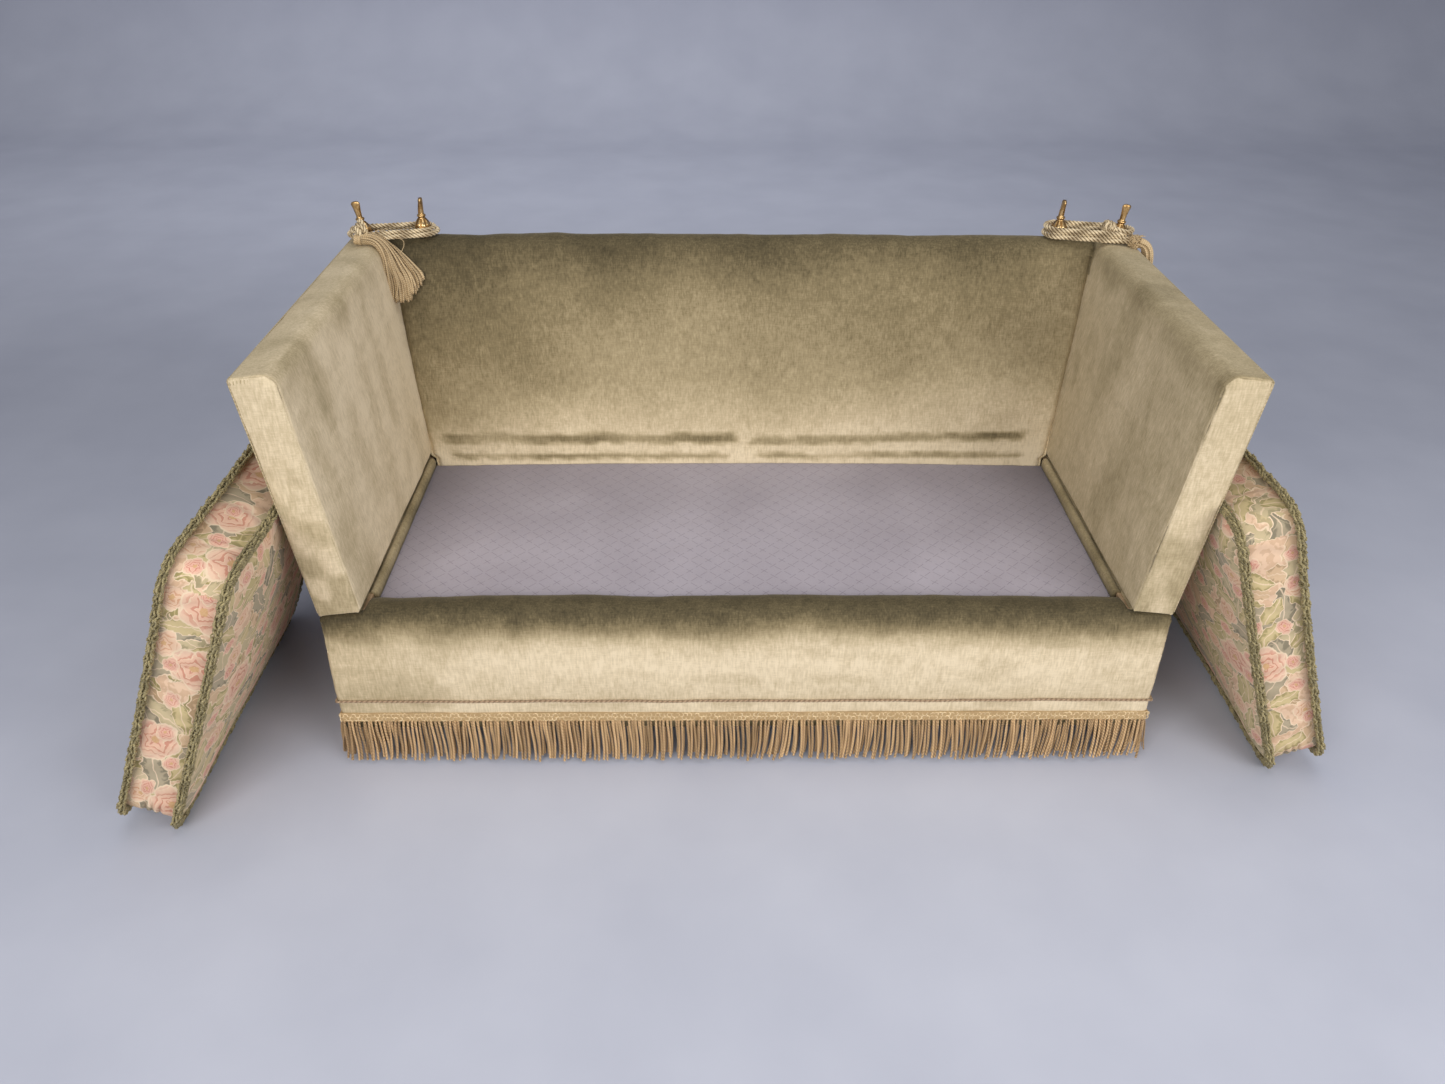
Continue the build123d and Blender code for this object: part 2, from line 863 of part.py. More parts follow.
def arm_finial_foot():
    """Where the right arm's finial meets the height of the ropes."""
    place = arm_place * Pos(-arm_finial_x, arm_finial_y, arm_length_up)
    lean = math.tan(math.radians(arm_lean))
    spot = place.position
    return spot.X + (rope_lowest - spot.Z) * lean, spot.Y


def rope_ends(side):
    """Where the rope's last end meets its knot, and its direction there."""
    knot = Vector(right_knot_x, right_knot_y, right_knot_z)
    way = Vector(*right_end_way).normalized()
    if side < 0:
        knot = Vector(left_knot_x, left_knot_y, left_knot_z)
        way = Vector(*left_end_way).normalized()
    return knot - way * (knot_radius + soft_gap), way


def rope_stations(side):
    """The whole route: a short run in, the winding, and a turn out to the knot."""
    x, y = arm_finial_foot()
    turns = left_turns if side < 0 else right_turns
    run = stub_run if side < 0 else tail_run
    arm_post = (side * x, y, 0)
    stations = winding_stations(arm_post, (side * back_finial_x, back_finial_y, 0), turns)
    if side < 0:
        stations.pop()
    first_point, first_way = stations[0]
    stations.insert(0, (first_point - first_way * run, first_way))
    stations.append(rope_ends(side))
    return stations


def tie_rope(side):
    """The rope wound round an arm's finial and the back's finial."""
    tube, wire, ratio = tube_along(rope_edges(rope_stations(side)))
    print(side_names[side], "rope length", round(wire.length, 1), "volume ratio", round(ratio, 4))
    print(side_names[side], "rope least self gap", round(least_self_gap(wire), 2))
    return tube


# Tassels

# Stations of each skirt: place along X, Y and Z from its start, half width and half thickness,
# in shares of its length, and the turn of its wide way from the Y direction in degrees
left_skirt_shares = (
    (0.0, 0.0, 0.0, 0.073, 0.067, 0.0),
    (0.118, 0.01, 0.0, 0.1, 0.063, 0.0),
    (0.225, 0.02, -0.047, 0.115, 0.06, 4.0),
    (0.338, 0.022, -0.18, 0.135, 0.056, 20.0),
    (0.431, 0.0, -0.387, 0.175, 0.053, 45.0),
    (0.558, -0.042, -0.653, 0.235, 0.05, 72.0),
    (0.518, -0.088, -0.9, 0.175, 0.046, 72.0),
)
right_skirt_shares = (
    (0.0, 0.0, 0.0, 0.095, 0.09, 0.0),
    (0.095, -0.03, -0.04, 0.114, 0.095, 0.0),
    (0.171, -0.07, -0.155, 0.133, 0.1, 0.0),
    (0.2, -0.11, -0.325, 0.143, 0.1, 0.0),
    (0.205, -0.14, -0.57, 0.148, 0.095, 0.0),
    (0.195, -0.155, -0.82, 0.152, 0.086, 0.0),
)


def tassel_skirt(start, length, shares):
    """A loft of ovals along a skirt's stations."""
    points = [start + Vector(x, y, z) * length for x, y, z, _, _, _ in shares]
    sections = []
    for i, (_, _, _, wide, thick, turn) in enumerate(shares):
        before = points[max(i - 1, 0)]
        after = points[min(i + 1, len(points) - 1)]
        way = (after - before).normalized()
        fan = Vector(math.sin(math.radians(turn)), math.cos(math.radians(turn)), 0)
        plane = Plane(points[i], x_dir=fan - way * way.dot(fan), z_dir=way)
        sections.append(plane * Ellipse(wide * length, thick * length))
    return loft(sections)


def left_tassel_skirt():
    start = Vector(left_neck_x + neck_length / 2 + soft_gap, left_neck_y, left_neck_z)
    return tassel_skirt(start, left_skirt_length, left_skirt_shares) - left_tassel_head()


def right_head_centre():
    """The bound head that the right rope's lower end runs into."""
    point, way = rope_stations(1)[0]
    return point - way * (knot_radius + soft_gap)


def right_tassel_skirt():
    start = right_head_centre() + Vector(knot_radius + soft_gap, 0, 0)
    skirt = tassel_skirt(start, right_skirt_length, right_skirt_shares)
    return skirt - Pos(*right_head_centre()) * Sphere(knot_radius + soft_gap)


def left_tassel_head():
    """The knot of the rope's end and the bound neck of the tassel below it."""
    knot = Vector(left_knot_x, left_knot_y, left_knot_z)
    neck = Vector(left_neck_x, left_neck_y, left_neck_z)
    bound = Pos(*neck) * Rot(0, 90, 0) * Cylinder(neck_radius, neck_length)
    way = neck - knot
    hang = Plane(knot, z_dir=way)
    hitch = extrude(hang * Circle(hitch_radius), way.length)
    return hang * Rot(90, 0, 0) * Sphere(knot_radius) + hitch + bound


def right_tassel_head():
    return Pos(*right_head_centre()) * Sphere(knot_radius)


def right_rope_knot():
    return Pos(right_knot_x, right_knot_y, right_knot_z) * Sphere(knot_radius)


# Trims of the base

def twisted_cord():
    """One cord along the front and both sides, just above the fringe."""
    seat = trim_cord_radius + soft_gap
    x = half_width + seat
    y = -border_base_bulge - seat
    points = [(-x, wood_rear, cord_height), (-x, y, cord_height), (x, y, cord_height)]
    points.append((x, wood_rear, cord_height))
    path = FilletPolyline(*points, radius=seat)
    plane = Plane(path.position_at(0), z_dir=path.tangent_at(0))
    return sweep(plane * Circle(trim_cord_radius), path=path)


def braid_heading():
    x = half_width
    y = -border_base_bulge
    t = braid_thickness
    front = block((-x - t, y - t, braid_low), (x + t, y, braid_high))
    rear = block((-x - t, sofa_depth, braid_low), (x + t, sofa_depth + t, braid_high))
    right = block((x, y, braid_low), (x + t, sofa_depth, braid_high))
    return joined([front, rear, right, mirrored(right)])


def fringe(length, flare):
    """Hanging strands on a slice of heading, along X, flaring towards -Y."""
    count = int(length / fringe_pitch)
    pitch = length / count
    depth = fringe_top - fringe_header - fringe_end
    low = (-length / 2, 0, fringe_top - fringe_header)
    header = block(low, (length / 2, fringe_header_thickness, fringe_top - soft_gap))
    sway = Vector(0, -flare, -depth)
    strands = []
    for i in range(count):
        x = (i + 0.5) * pitch - length / 2
        root = Pos(x, fringe_header_thickness / 2, fringe_top - fringe_header)
        square = root * RegularPolygon(fringe_strand / 2, 4)
        strands.append(extrude(square, sway.length, dir=sway))
    return header.fuse(*strands)


def front_fringe():
    y = -border_base_bulge - fringe_header_thickness - soft_gap
    return Pos(0, y, 0) * fringe(seat_width, fringe_front_flare)


def back_fringe():
    place = Pos(0, sofa_depth + fringe_header_thickness + soft_gap, 0)
    return place * Rot(0, 0, 180) * fringe(seat_width, fringe_flare)


def side_fringe():
    length = sofa_depth + border_base_bulge
    middle = (sofa_depth - border_base_bulge) / 2
    place = Pos(half_width + fringe_header_thickness + soft_gap, middle, 0)
    return place * Rot(0, 0, 90) * fringe(length, fringe_flare)


# Loose cushions: built flat about the middle of one face, then leaned

def cushion_ring(width, length, corner):
    """A rounded rectangle whose sides draw in between its corners, smooth all the way round."""
    w = width / 2
    l = length / 2
    draw = math.tan(math.radians(cushion_draw_angle) / 2)
    long_draw = (w - corner) * draw
    side_draw = (l - corner) * draw
    sagitta = corner * root_half * math.tan(math.radians((90 + 2 * cushion_draw_angle) / 4))
    nose = corner / 2 - sagitta * root_half
    return [
        ThreePointArc((-w + corner, -l, 0), (0, -l + long_draw, 0), (w - corner, -l, 0)),
        ThreePointArc((w - corner, -l, 0), (w - nose, -l + nose, 0), (w, -l + corner, 0)),
        ThreePointArc((w, -l + corner, 0), (w - side_draw, 0, 0), (w, l - corner, 0)),
        ThreePointArc((w, l - corner, 0), (w - nose, l - nose, 0), (w - corner, l, 0)),
        ThreePointArc((w - corner, l, 0), (0, l - long_draw, 0), (-w + corner, l, 0)),
        ThreePointArc((-w + corner, l, 0), (-w + nose, l - nose, 0), (-w, l - corner, 0)),
        ThreePointArc((-w, l - corner, 0), (-w + side_draw, 0, 0), (-w, -l + corner, 0)),
        ThreePointArc((-w, -l + corner, 0), (-w + nose, -l + nose, 0), (-w + corner, -l, 0)),
    ]


trim_offset = trim_roll_radius + soft_gap
case_height = cushion_height - 2 * trim_offset - 2 * trim_roll_radius
case_length = cushion_length - 2 * trim_offset - 2 * trim_roll_radius
case_thickness = cushion_thickness - 2 * trim_roll_radius
crown_heights_share = (0.45, 0.78, 0.95, 1.0)
crown_sizes_share = (0.93, 0.76, 0.5, 0.2)


def cushion_case():
    """A box cushion: a border between two seams and a crown on each face."""
    half = case_thickness / 2
    levels = [(half, 1.0)]
    for rise, size in zip(crown_heights_share, crown_sizes_share):
        levels.append((half + rise * cushion_crown, size))

    def section(z, size):
        ring = cushion_ring(case_height * size, case_length * size, cushion_corner * size)
        return Pos(0, 0, z) * outline(ring)

    crown = loft([section(z, size) for z, size in levels])
    border = loft([section(-half, 1.0), section(half, 1.0)], ruled=True)
    return border + crown + mirror(crown, about=Plane.XY)


def cushion_trims():
    """A rolled trim round each seam."""
    rings = []
    for z in (-case_thickness / 2, case_thickness / 2):
        ring = cushion_ring(
            case_height + 2 * trim_offset,
            case_length + 2 * trim_offset,
            cushion_corner + trim_offset,
        )
        path = Wire(ring)
        start = Plane(path.position_at(0), z_dir=path.tangent_at(0))
        rings.append(Pos(0, 0, z) * sweep(start * Circle(trim_roll_radius), path=path))
    return joined(rings)


def cushion_zip():
    """The closed zip along the border's rear side, following its curve."""
    inside = outline(cushion_ring(case_height, case_length + 2 * soft_gap, cushion_corner))
    reach = case_length + 2 * (soft_gap + zip_thickness)
    outside = outline(cushion_ring(case_height, reach, cushion_corner))
    band = extrude(outside - inside, zip_width / 2, both=True)
    return band & block((-zip_length / 2, 0, -zip_width), (zip_length / 2, cushion_length, zip_width))


def cushion_place(lean, front):
    """Leans a flat cushion on the right arm's outer face, its lower edge on the floor."""
    r = trim_roll_radius
    turn = math.radians(lean)
    reach = cushion_height / 2 - r
    inner = case_thickness / 2
    arm_face = math.radians(arm_lean)
    foot_z = r + reach * math.cos(turn) - inner * math.sin(turn)
    top_z = foot_z + reach * math.cos(turn) + inner * -math.sin(turn)
    low_z = foot_z - reach * math.cos(turn) - inner * math.sin(turn)
    z = foot_z + (r - low_z)
    top_z = top_z + (r - low_z)
    face_x = hinge_x + hinge_inset / math.cos(arm_face) + (top_z - rail_height) * math.tan(arm_face)
    touch = (r + soft_gap) / math.cos(arm_face)
    x = face_x + touch + reach * math.sin(turn) + inner * math.cos(turn)
    return Pos(x, front + cushion_length / 2, z) * Rot(0, 90 - lean, 0)


def cushion_parts(side):
    lean = right_lean if side > 0 else left_lean
    front = right_cushion_front if side > 0 else left_cushion_front
    place = cushion_place(lean, front)
    pieces = {"case": cushion_case(), "trims": cushion_trims(), "zip": cushion_zip()}
    return {name: on_side(side, place * piece) for name, piece in pieces.items()}


def all_nodes():
    """Every node of the sofa by name."""
    side_shell = side_cover_shell()
    side_strands = side_fringe()
    moving_leaves = joined(hinge_leaves(False))
    nodes = {
        "feet": feet(),
        "corner_posts": corner_posts(),
        "front_base_board": base_board(front_cover),
        "back_base_board": base_board(wood_rear - board_thickness),
        "side_base_boards": base_boards_side(),
        "front_seat_rail": seat_rail(front_rail_y),
        "back_seat_rail": seat_rail(rear_rail_y),
        "arm_bearers": arm_bearers(),
        "seat_stretchers": seat_stretchers(),
        "seat_webbing": seat_webbing(),
        "platform_pad": platform_pad(),
        "platform_cloth": platform_cloth(),
        "dust_cover": dust_cover(),
        "front_border_cover": border_cover(),
        "front_edge_roll": edge_roll(),
        "outer_back_panel": outer_back_panel(),
        "back_posts": joined([back_post(), mirrored(back_post())]),
        "back_top_rail": back_top_rail(),
        "back_lower_rail": back_lower_rail(),
        "back_webbing": back_webbing(),
        "back_upholstery": back_upholstery(),
        "hinge_fixed_leaves": hinge_fixed_leaves(),
        "hinge_pins": hinge_pins(),
        "twisted_cord": twisted_cord(),
        "braid_heading": braid_heading(),
        "front_fringe": front_fringe(),
        "back_fringe": back_fringe(),
        "left_tassel_head": left_tassel_head(),
        "right_tassel_head": right_tassel_head(),
        "right_rope_knot": right_rope_knot(),
        "left_tassel_skirt": left_tassel_skirt(),
        "right_tassel_skirt": right_tassel_skirt(),
    }
    posts = arm_posts()
    rails = arm_rails()
    padding = arm_upholstery()
    tip = arm_finial()
    back_tip = back_finial()
    for side, name in side_names.items():
        nodes[name + "_side_cover"] = on_side(side, side_shell)
        nodes[name + "_side_fringe"] = on_side(side, side_strands)
        nodes[name + "_arm_posts"] = on_side(side, posts)
        nodes[name + "_arm_rails"] = on_side(side, rails)
        nodes[name + "_arm_upholstery"] = on_side(side, padding)
        nodes[name + "_hinge_moving_leaves"] = on_side(side, moving_leaves)
        nodes[name + "_arm_finial"] = on_side(side, tip)
        nodes[name + "_back_finial"] = on_side(side, back_tip)
        nodes[name + "_tie_rope"] = tie_rope(side)
        for piece, shape in cushion_parts(side).items():
            nodes[name + "_cushion_" + piece] = shape
    return nodes


def main():
    to_frame = Pos(0, -frame_depth, 0)
    for name, shape in all_nodes().items():
        export_step(to_frame * shape, os.path.join("parts", name + ".step"))


main()
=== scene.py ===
import math

import bmesh
import bpy
import numpy as np
from mathutils import Matrix, Vector
from mathutils.kdtree import KDTree


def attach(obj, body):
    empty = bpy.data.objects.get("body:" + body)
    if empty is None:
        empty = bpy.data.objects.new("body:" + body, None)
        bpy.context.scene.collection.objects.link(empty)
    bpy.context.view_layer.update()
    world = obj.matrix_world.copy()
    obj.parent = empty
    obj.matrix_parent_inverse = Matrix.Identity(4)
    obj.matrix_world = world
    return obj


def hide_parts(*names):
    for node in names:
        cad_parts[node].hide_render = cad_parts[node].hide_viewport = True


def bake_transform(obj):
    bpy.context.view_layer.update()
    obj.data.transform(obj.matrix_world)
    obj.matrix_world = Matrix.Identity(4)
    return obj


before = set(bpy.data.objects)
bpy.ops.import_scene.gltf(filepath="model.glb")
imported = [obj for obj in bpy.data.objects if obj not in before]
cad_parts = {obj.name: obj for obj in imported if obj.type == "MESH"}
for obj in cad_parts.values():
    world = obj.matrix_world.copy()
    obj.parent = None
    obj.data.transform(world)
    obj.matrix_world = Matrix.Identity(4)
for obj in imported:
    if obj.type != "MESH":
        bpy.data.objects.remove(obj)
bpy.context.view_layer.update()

# Sizes in metres, in the CAD model's axes, with depths counted from the sofa's front plane
front_plane = -0.29615
half_width = 0.820
sofa_depth = 0.790
rail_height = 0.363
hinge_x = 0.815
arm_lean = math.radians(6.45)
arm_inner_x = -0.077
arm_outer_x = 0.005
arm_foot_z = 0.0003
arm_top_z = 0.496
arm_depth = 0.770
back_lean = math.tan(arm_lean)
back_reach = 0.7365
hem_height = 0.085
cord_height = 0.156
border_top = 0.3627
back_top = 0.8600
deck_front = 0.076
deck_rear = 0.614
deck_reach = 0.7267
deck_height = 0.3495
deck_crown = 0.0075
cushion_lean = {"left": math.radians(22.8), "right": math.radians(21.0)}
cushion_centre = {"left": (-1.0240, 0.1335, 0.3213), "right": (1.0161, 0.2815, 0.3236)}
case_size = (0.6214, 0.6824, 0.099)
case_corner = 0.042
trim_offset = 0.0083
draw_angle = math.radians(3.4)

sides = {"left": -1, "right": 1}


# Nodes of a material or of a growing rule

class Signal:
    """A node's output that adds and multiplies like a number."""

    def __init__(self, tree, socket):
        self.tree = tree
        self.socket = socket

    def math(self, operation, *others):
        node = self.tree.nodes.new("ShaderNodeMath")
        node.operation = operation
        for place, value in zip(node.inputs, (self,) + others):
            feed(self.tree, place, value)
        return Signal(self.tree, node.outputs[0])

    def __add__(self, other):
        return self.math("ADD", other)

    def __sub__(self, other):
        return self.math("SUBTRACT", other)

    def __mul__(self, other):
        return self.math("MULTIPLY", other)

    def __truediv__(self, other):
        return self.math("DIVIDE", other)

    def from_one(self):
        return (self * -1) + 1

    def step(self, low, high):
        """From 0 below low to 1 above high, smoothly."""
        node = self.tree.nodes.new("ShaderNodeMapRange")
        node.interpolation_type = "SMOOTHSTEP"
        feed(self.tree, node.inputs["Value"], self)
        node.inputs["From Min"].default_value = low
        node.inputs["From Max"].default_value = high
        return Signal(self.tree, node.outputs["Result"])


def feed(tree, place, value):
    if isinstance(value, Signal):
        tree.links.new(value.socket, place)
    elif isinstance(value, bpy.types.NodeSocket):
        tree.links.new(value, place)
    else:
        place.default_value = value


def node(tree, kind, inputs=None, **settings):
    made = tree.nodes.new(kind)
    for name, value in settings.items():
        setattr(made, name, value)
    for name, value in (inputs or {}).items():
        feed(tree, made.inputs[name], value)
    return made


def object_place(tree, stretch=(1, 1, 1), turn=(0, 0, 0)):
    """The piece's own coordinates, stretched or turned."""
    place = node(tree, "ShaderNodeTexCoord").outputs["Object"]
    return node(
        tree, "ShaderNodeMapping", {"Vector": place, "Scale": stretch, "Rotation": turn}
    ).outputs["Vector"]


def noise(tree, place, scale, detail=2.0, distortion=0.0):
    inputs = {"Vector": place, "Scale": scale, "Detail": detail, "Distortion": distortion}
    return Signal(tree, node(tree, "ShaderNodeTexNoise", inputs).outputs["Fac"])


def grain(tree, scale, detail=2.0, stretch=(1, 1, 1), distortion=0.0, turn=(0, 0, 0)):
    """Noise in the piece's own coordinates."""
    return noise(tree, object_place(tree, stretch, turn), scale, detail, distortion)


def wave(tree, place, scale, axis="X"):
    made = node(tree, "ShaderNodeTexWave", {"Vector": place, "Scale": scale}, bands_direction=axis)
    return Signal(tree, made.outputs["Fac"])


def vector_math(tree, operation, first, second):
    return node(tree, "ShaderNodeVectorMath", {0: first, 1: second}, operation=operation).outputs[0]


def parts_of(tree, place, count=3):
    """A vector's own numbers."""
    parts = node(tree, "ShaderNodeSeparateXYZ", {0: place})
    return [Signal(tree, parts.outputs[i]) for i in range(count)]


def attribute(tree, name):
    """The number that a piece carries under this name."""
    return Signal(tree, node(tree, "ShaderNodeAttribute", attribute_name=name).outputs["Fac"])


def ramp(tree, factor, stops):
    made = node(tree, "ShaderNodeValToRGB", {"Fac": factor})
    points = made.color_ramp.elements
    while len(points) < len(stops):
        points.new(0.5)
    for point, (place, colour) in zip(points, stops):
        point.position = place
        point.color = (*colour, 1)
    return made.outputs["Color"]


def mixed(tree, factor, first, second, way="MIX"):
    made = node(tree, "ShaderNodeMix", data_type="RGBA", blend_type=way)
    feed(tree, made.inputs[0], factor)
    for place, value in ((made.inputs[6], first), (made.inputs[7], second)):
        if isinstance(value, tuple):
            value = (*value, 1)
        feed(tree, place, value)
    return made.outputs[2]


def finish(name, roughness, **sockets):
    """A material, its node tree and its shader, with the constants set on the shader itself."""
    material = bpy.data.materials.new(name)
    material.use_nodes = True
    shader = material.node_tree.nodes["Principled BSDF"]
    shader.inputs["Roughness"].default_value = roughness
    for socket, value in sockets.items():
        shader.inputs[socket.replace("_", " ")].default_value = value
    return material, material.node_tree, shader


def surface(tree, shader, colour, height=None, depth=0.0005, strength=1.0):
    feed(tree, shader.inputs["Base Color"], colour)
    if height is not None:
        bump = node(tree, "ShaderNodeBump", {"Height": height, "Distance": depth, "Strength": strength})
        feed(tree, shader.inputs["Normal"], bump.outputs["Normal"])


# Finishes

def olive_velvet():
    """Brushed velvet, whose tone, brushed marks and painted light and shade each piece carries in its own
    attribute.
    """
    material, tree, shader = finish(
        "olive_velvet", 0.78, Sheen_Weight=0.22, Sheen_Roughness=0.42, Specular_IOR_Level=0.12
    )
    shader.inputs["Sheen Tint"].default_value = (0.95, 0.86, 0.66, 1)
    fibres = grain(tree, 300, 3, (1, 1, 0.16))
    streaks = grain(tree, 120, 3, (1, 1, 0.30))
    across = grain(tree, 520, 2, (0.12, 1, 1))
    fine = grain(tree, 1400)
    brushed = grain(tree, 34, 5, (1, 0.5, 1), 0.8, (0.6, 0.2, 0))
    # the attribute holds painted light and shade as well as the velvet's own tone and marks
    shade = attribute(tree, "tone_and_painted_light")
    textures = (fibres, 0.36), (streaks, 0.16), (across, 0.20), (fine, 0.22), (brushed, 0.22)
    for texture, share in textures:
        shade = shade + (texture - 0.5) * share
    colour = ramp(tree, shade, [
        (0.0, (0.060, 0.048, 0.026)), (0.2, (0.130, 0.102, 0.054)), (0.4, (0.250, 0.197, 0.107)),
        (0.6, (0.405, 0.325, 0.192)), (0.8, (0.590, 0.480, 0.310)), (1.0, (0.800, 0.670, 0.470)),
    ])
    surface(tree, shader, colour, fibres * 0.6 + fine * 0.4, 0.0006, 0.5)
    return material


def floral_tapestry():
    """Woven roses and leaves on a pale ground, laid out in the cushion's own flat measure."""
    material, tree, shader = finish(
        "floral_tapestry", 0.86, Sheen_Weight=0.08, Specular_IOR_Level=0.15
    )
    flat = node(tree, "ShaderNodeUVMap", uv_map="cloth").outputs["UV"]
    drift = node(tree, "ShaderNodeTexNoise", {"Vector": flat, "Scale": 22.0, "Detail": 2.0}).outputs["Color"]
    drift = vector_math(tree, "SUBTRACT", drift, (0.5, 0.5, 0.5))
    laid = vector_math(tree, "ADD", flat, vector_math(tree, "MULTIPLY", drift, (0.022, 0.022, 0.0)))

    def motif(scale, randomness, shift):
        """Where a motif's middle is from here, and three numbers of its own."""
        moved = vector_math(tree, "ADD", laid, shift)
        inputs = {"Vector": moved, "Scale": scale, "Randomness": randomness}
        cells = node(tree, "ShaderNodeTexVoronoi", inputs, voronoi_dimensions="2D")
        x, y = parts_of(tree, vector_math(tree, "SUBTRACT", moved, cells.outputs["Position"]), 2)
        own = node(tree, "ShaderNodeSeparateColor", {0: cells.outputs["Color"]})
        return x, y, [Signal(tree, own.outputs[i]) for i in range(3)]

    def leaf(scale, shift, length, width):
        """A toothed leaf's cover, from 0 outside to above 0 inside, with its veins."""
        x, y, own = motif(scale, 0.85, shift)
        turn = own[0] * 6.2832
        c, s = turn.math("COSINE"), turn.math("SINE")
        along = x * c + y * s
        aside = y * c - x * s + (along * 44).math("SINE") * 0.008
        reach = (along / length).math("POWER", 2.0)
        teeth = (along * 150 + own[1] * 6).math("SINE").math("ABSOLUTE") * 0.20
        cover = (reach + aside.math("ABSOLUTE") / width + teeth).from_one()
        vein = aside.math("ABSOLUTE").step(0.0007, 0.0016).from_one()
        rib = ((aside.math("ABSOLUTE") * 0.8 + along) * 330).math("SINE").step(0.78, 0.97)
        return cover, vein, rib, own

    def rose(scale, shift, radius):
        """Scalloped rings of petals about a middle."""
        x, y, own = motif(scale, 0.5, shift)
        squash = y * 1.15
        away = (x * x + squash * squash).math("SQRT")
        turn = y.math("ARCTAN2", x) + own[0] * 6.2832
        ring = away / radius
        scallop = (turn * 2.5 + ring.math("FLOOR") * 1.3).math("SINE").math("ABSOLUTE")
        lobes = (turn * 2.5).math("SINE").math("ABSOLUTE")
        cover = (ring + (lobes * -1 + 1) * 0.22).from_one()
        rough = noise(tree, flat, 75, 2) * 0.9
        petals = (ring * 3.1 + scallop * 0.6 + rough + (turn + ring * 5).math("SINE") * 0.25).math("FRACT")
        return cover, petals, ring, own

    patches = noise(tree, flat, 55, 2, 0.6)
    picture = mixed(tree, patches.step(0.47, 0.53), (0.64, 0.44, 0.30), (0.78, 0.57, 0.42))
    cream = (0.84, 0.70, 0.54)
    # leaves: how close, shifted by, length, width, dark and light
    for scale, shift, length, width, dark, light in (
        (9.5, (0.31, 0.07, 0), 0.078, 0.030, (0.270, 0.240, 0.095), (0.480, 0.420, 0.200)),
        (10.5, (0.11, 0.43, 0), 0.070, 0.028, (0.420, 0.290, 0.170), (0.650, 0.470, 0.300)),
        (8.5, (0.57, 0.29, 0), 0.082, 0.031, (0.320, 0.290, 0.170), (0.520, 0.455, 0.280)),
        (9.0, (0.83, 0.61, 0), 0.062, 0.026, (0.185, 0.175, 0.125), (0.360, 0.325, 0.235)),
        (13.0, (0.19, 0.77, 0), 0.044, 0.019, (0.330, 0.290, 0.120), (0.560, 0.480, 0.250)),
    ):
        cover, vein, rib, own = leaf(scale, shift, length, width)
        fold = (cover * 0.7 + patches * 0.9 + rib * 0.25 + own[1] * 0.3 - 0.25).step(0.42, 0.58)
        blade = mixed(tree, fold, dark, light)
        blade = mixed(tree, vein * 0.7, blade, cream)
        picture = mixed(tree, cover.step(-0.09, -0.05) * own[2].step(0.08, 0.1), picture, cream)
        picture = mixed(tree, cover.step(0.0, 0.03) * own[2].step(0.08, 0.1), picture, blade)
    # roses: how close, shifted by, radius, deep and pale
    for scale, shift, radius, deep, pale in (
        (8.6, (0.47, 0.71, 0), 0.030, (0.64, 0.33, 0.21), (0.80, 0.56, 0.41)),
        (5.6, (0.05, 0.02, 0), 0.050, (0.60, 0.25, 0.185), (0.79, 0.50, 0.385)),
        (12.0, (0.23, 0.91, 0), 0.019, (0.58, 0.20, 0.17), (0.76, 0.42, 0.34)),
    ):
        cover, petals, ring, own = rose(scale, shift, radius)
        bloom = mixed(tree, petals.step(0.26, 0.40), deep, pale)
        bloom = mixed(tree, (ring + patches * 0.5).step(0.75, 1.25) * 0.7, bloom, (0.84, 0.64, 0.50))
        bloom = mixed(tree, petals.step(0.88, 0.93) * 0.85, bloom, cream)
        heart = ring.step(0.14, 0.20).from_one()
        bloom = mixed(tree, heart * 0.8, bloom, (0.62, 0.38, 0.16))
        shown = own[2].step(0.18, 0.2)
        picture = mixed(tree, cover.step(-0.08, -0.04) * shown, picture, cream)
        picture = mixed(tree, cover.step(0.0, 0.03) * shown, picture, bloom)
    slub = noise(tree, flat, 900, 2)
    cloth = wave(tree, flat, 330, "X") * 0.5 + wave(tree, flat, 420, "Y") * 0.5
    picture = mixed(tree, slub * 0.16 + cloth * 0.12, picture, (0.30, 0.24, 0.17), "MULTIPLY")
    # painted shade in the pleats' creases and along the seams
    picture = mixed(tree, attribute(tree, "crease_shade"), picture, (0.22, 0.15, 0.10), "MULTIPLY")
    picture = node(tree, "ShaderNodeGamma", {"Color": picture, "Gamma": 0.75}).outputs[0]
    picture = mixed(tree, 1.0, picture, (1.14, 1.04, 0.92), "MULTIPLY")
    surface(tree, shader, picture, cloth * 0.7 + slub * 0.3, 0.0006, 0.6)
    return material


def yarn(name, dark, light, turns, roughness=0.55, plies=1):
    """Twisted yarn, with the light and shade of its lay painted round each strand from the strand's own
    measure.
    """
    material, tree, shader = finish(name, roughness, Sheen_Weight=0.25, Specular_IOR_Level=0.3)
    shader.inputs["Sheen Tint"].default_value = (1.0, 0.92, 0.75, 1)
    lay = node(tree, "ShaderNodeAttribute", attribute_name="lay").outputs["Vector"]
    cosine, sine, along = parts_of(tree, lay)
    angle = along * (turns * 6.2832)
    # painted light and shade of the twist: bands that wind round each strand
    stripe = sine * angle.math("COSINE") + cosine * angle.math("SINE")
    if plies == 2:
        stripe = (stripe * stripe) * 2 - 1
    fibre = grain(tree, 900, 3)
    shade = stripe * 0.28 + fibre * 0.45 + grain(tree, 45) * 0.25 + attribute(tree, "tone") * 0.35 - 0.02
    # painted shade in the grooves between the three plies
    if plies == 3:
        crown = cosine.math("POWER", 3.0) * 4 - cosine * 3
        shade = shade - crown.step(-1.0, 0.1).from_one() * 0.62 + 0.10
    colour = ramp(tree, shade, [(0.0, dark), (0.85, light)])
    surface(tree, shader, colour, stripe * 0.5 + fibre * 0.5, 0.0004, 0.8)
    return material


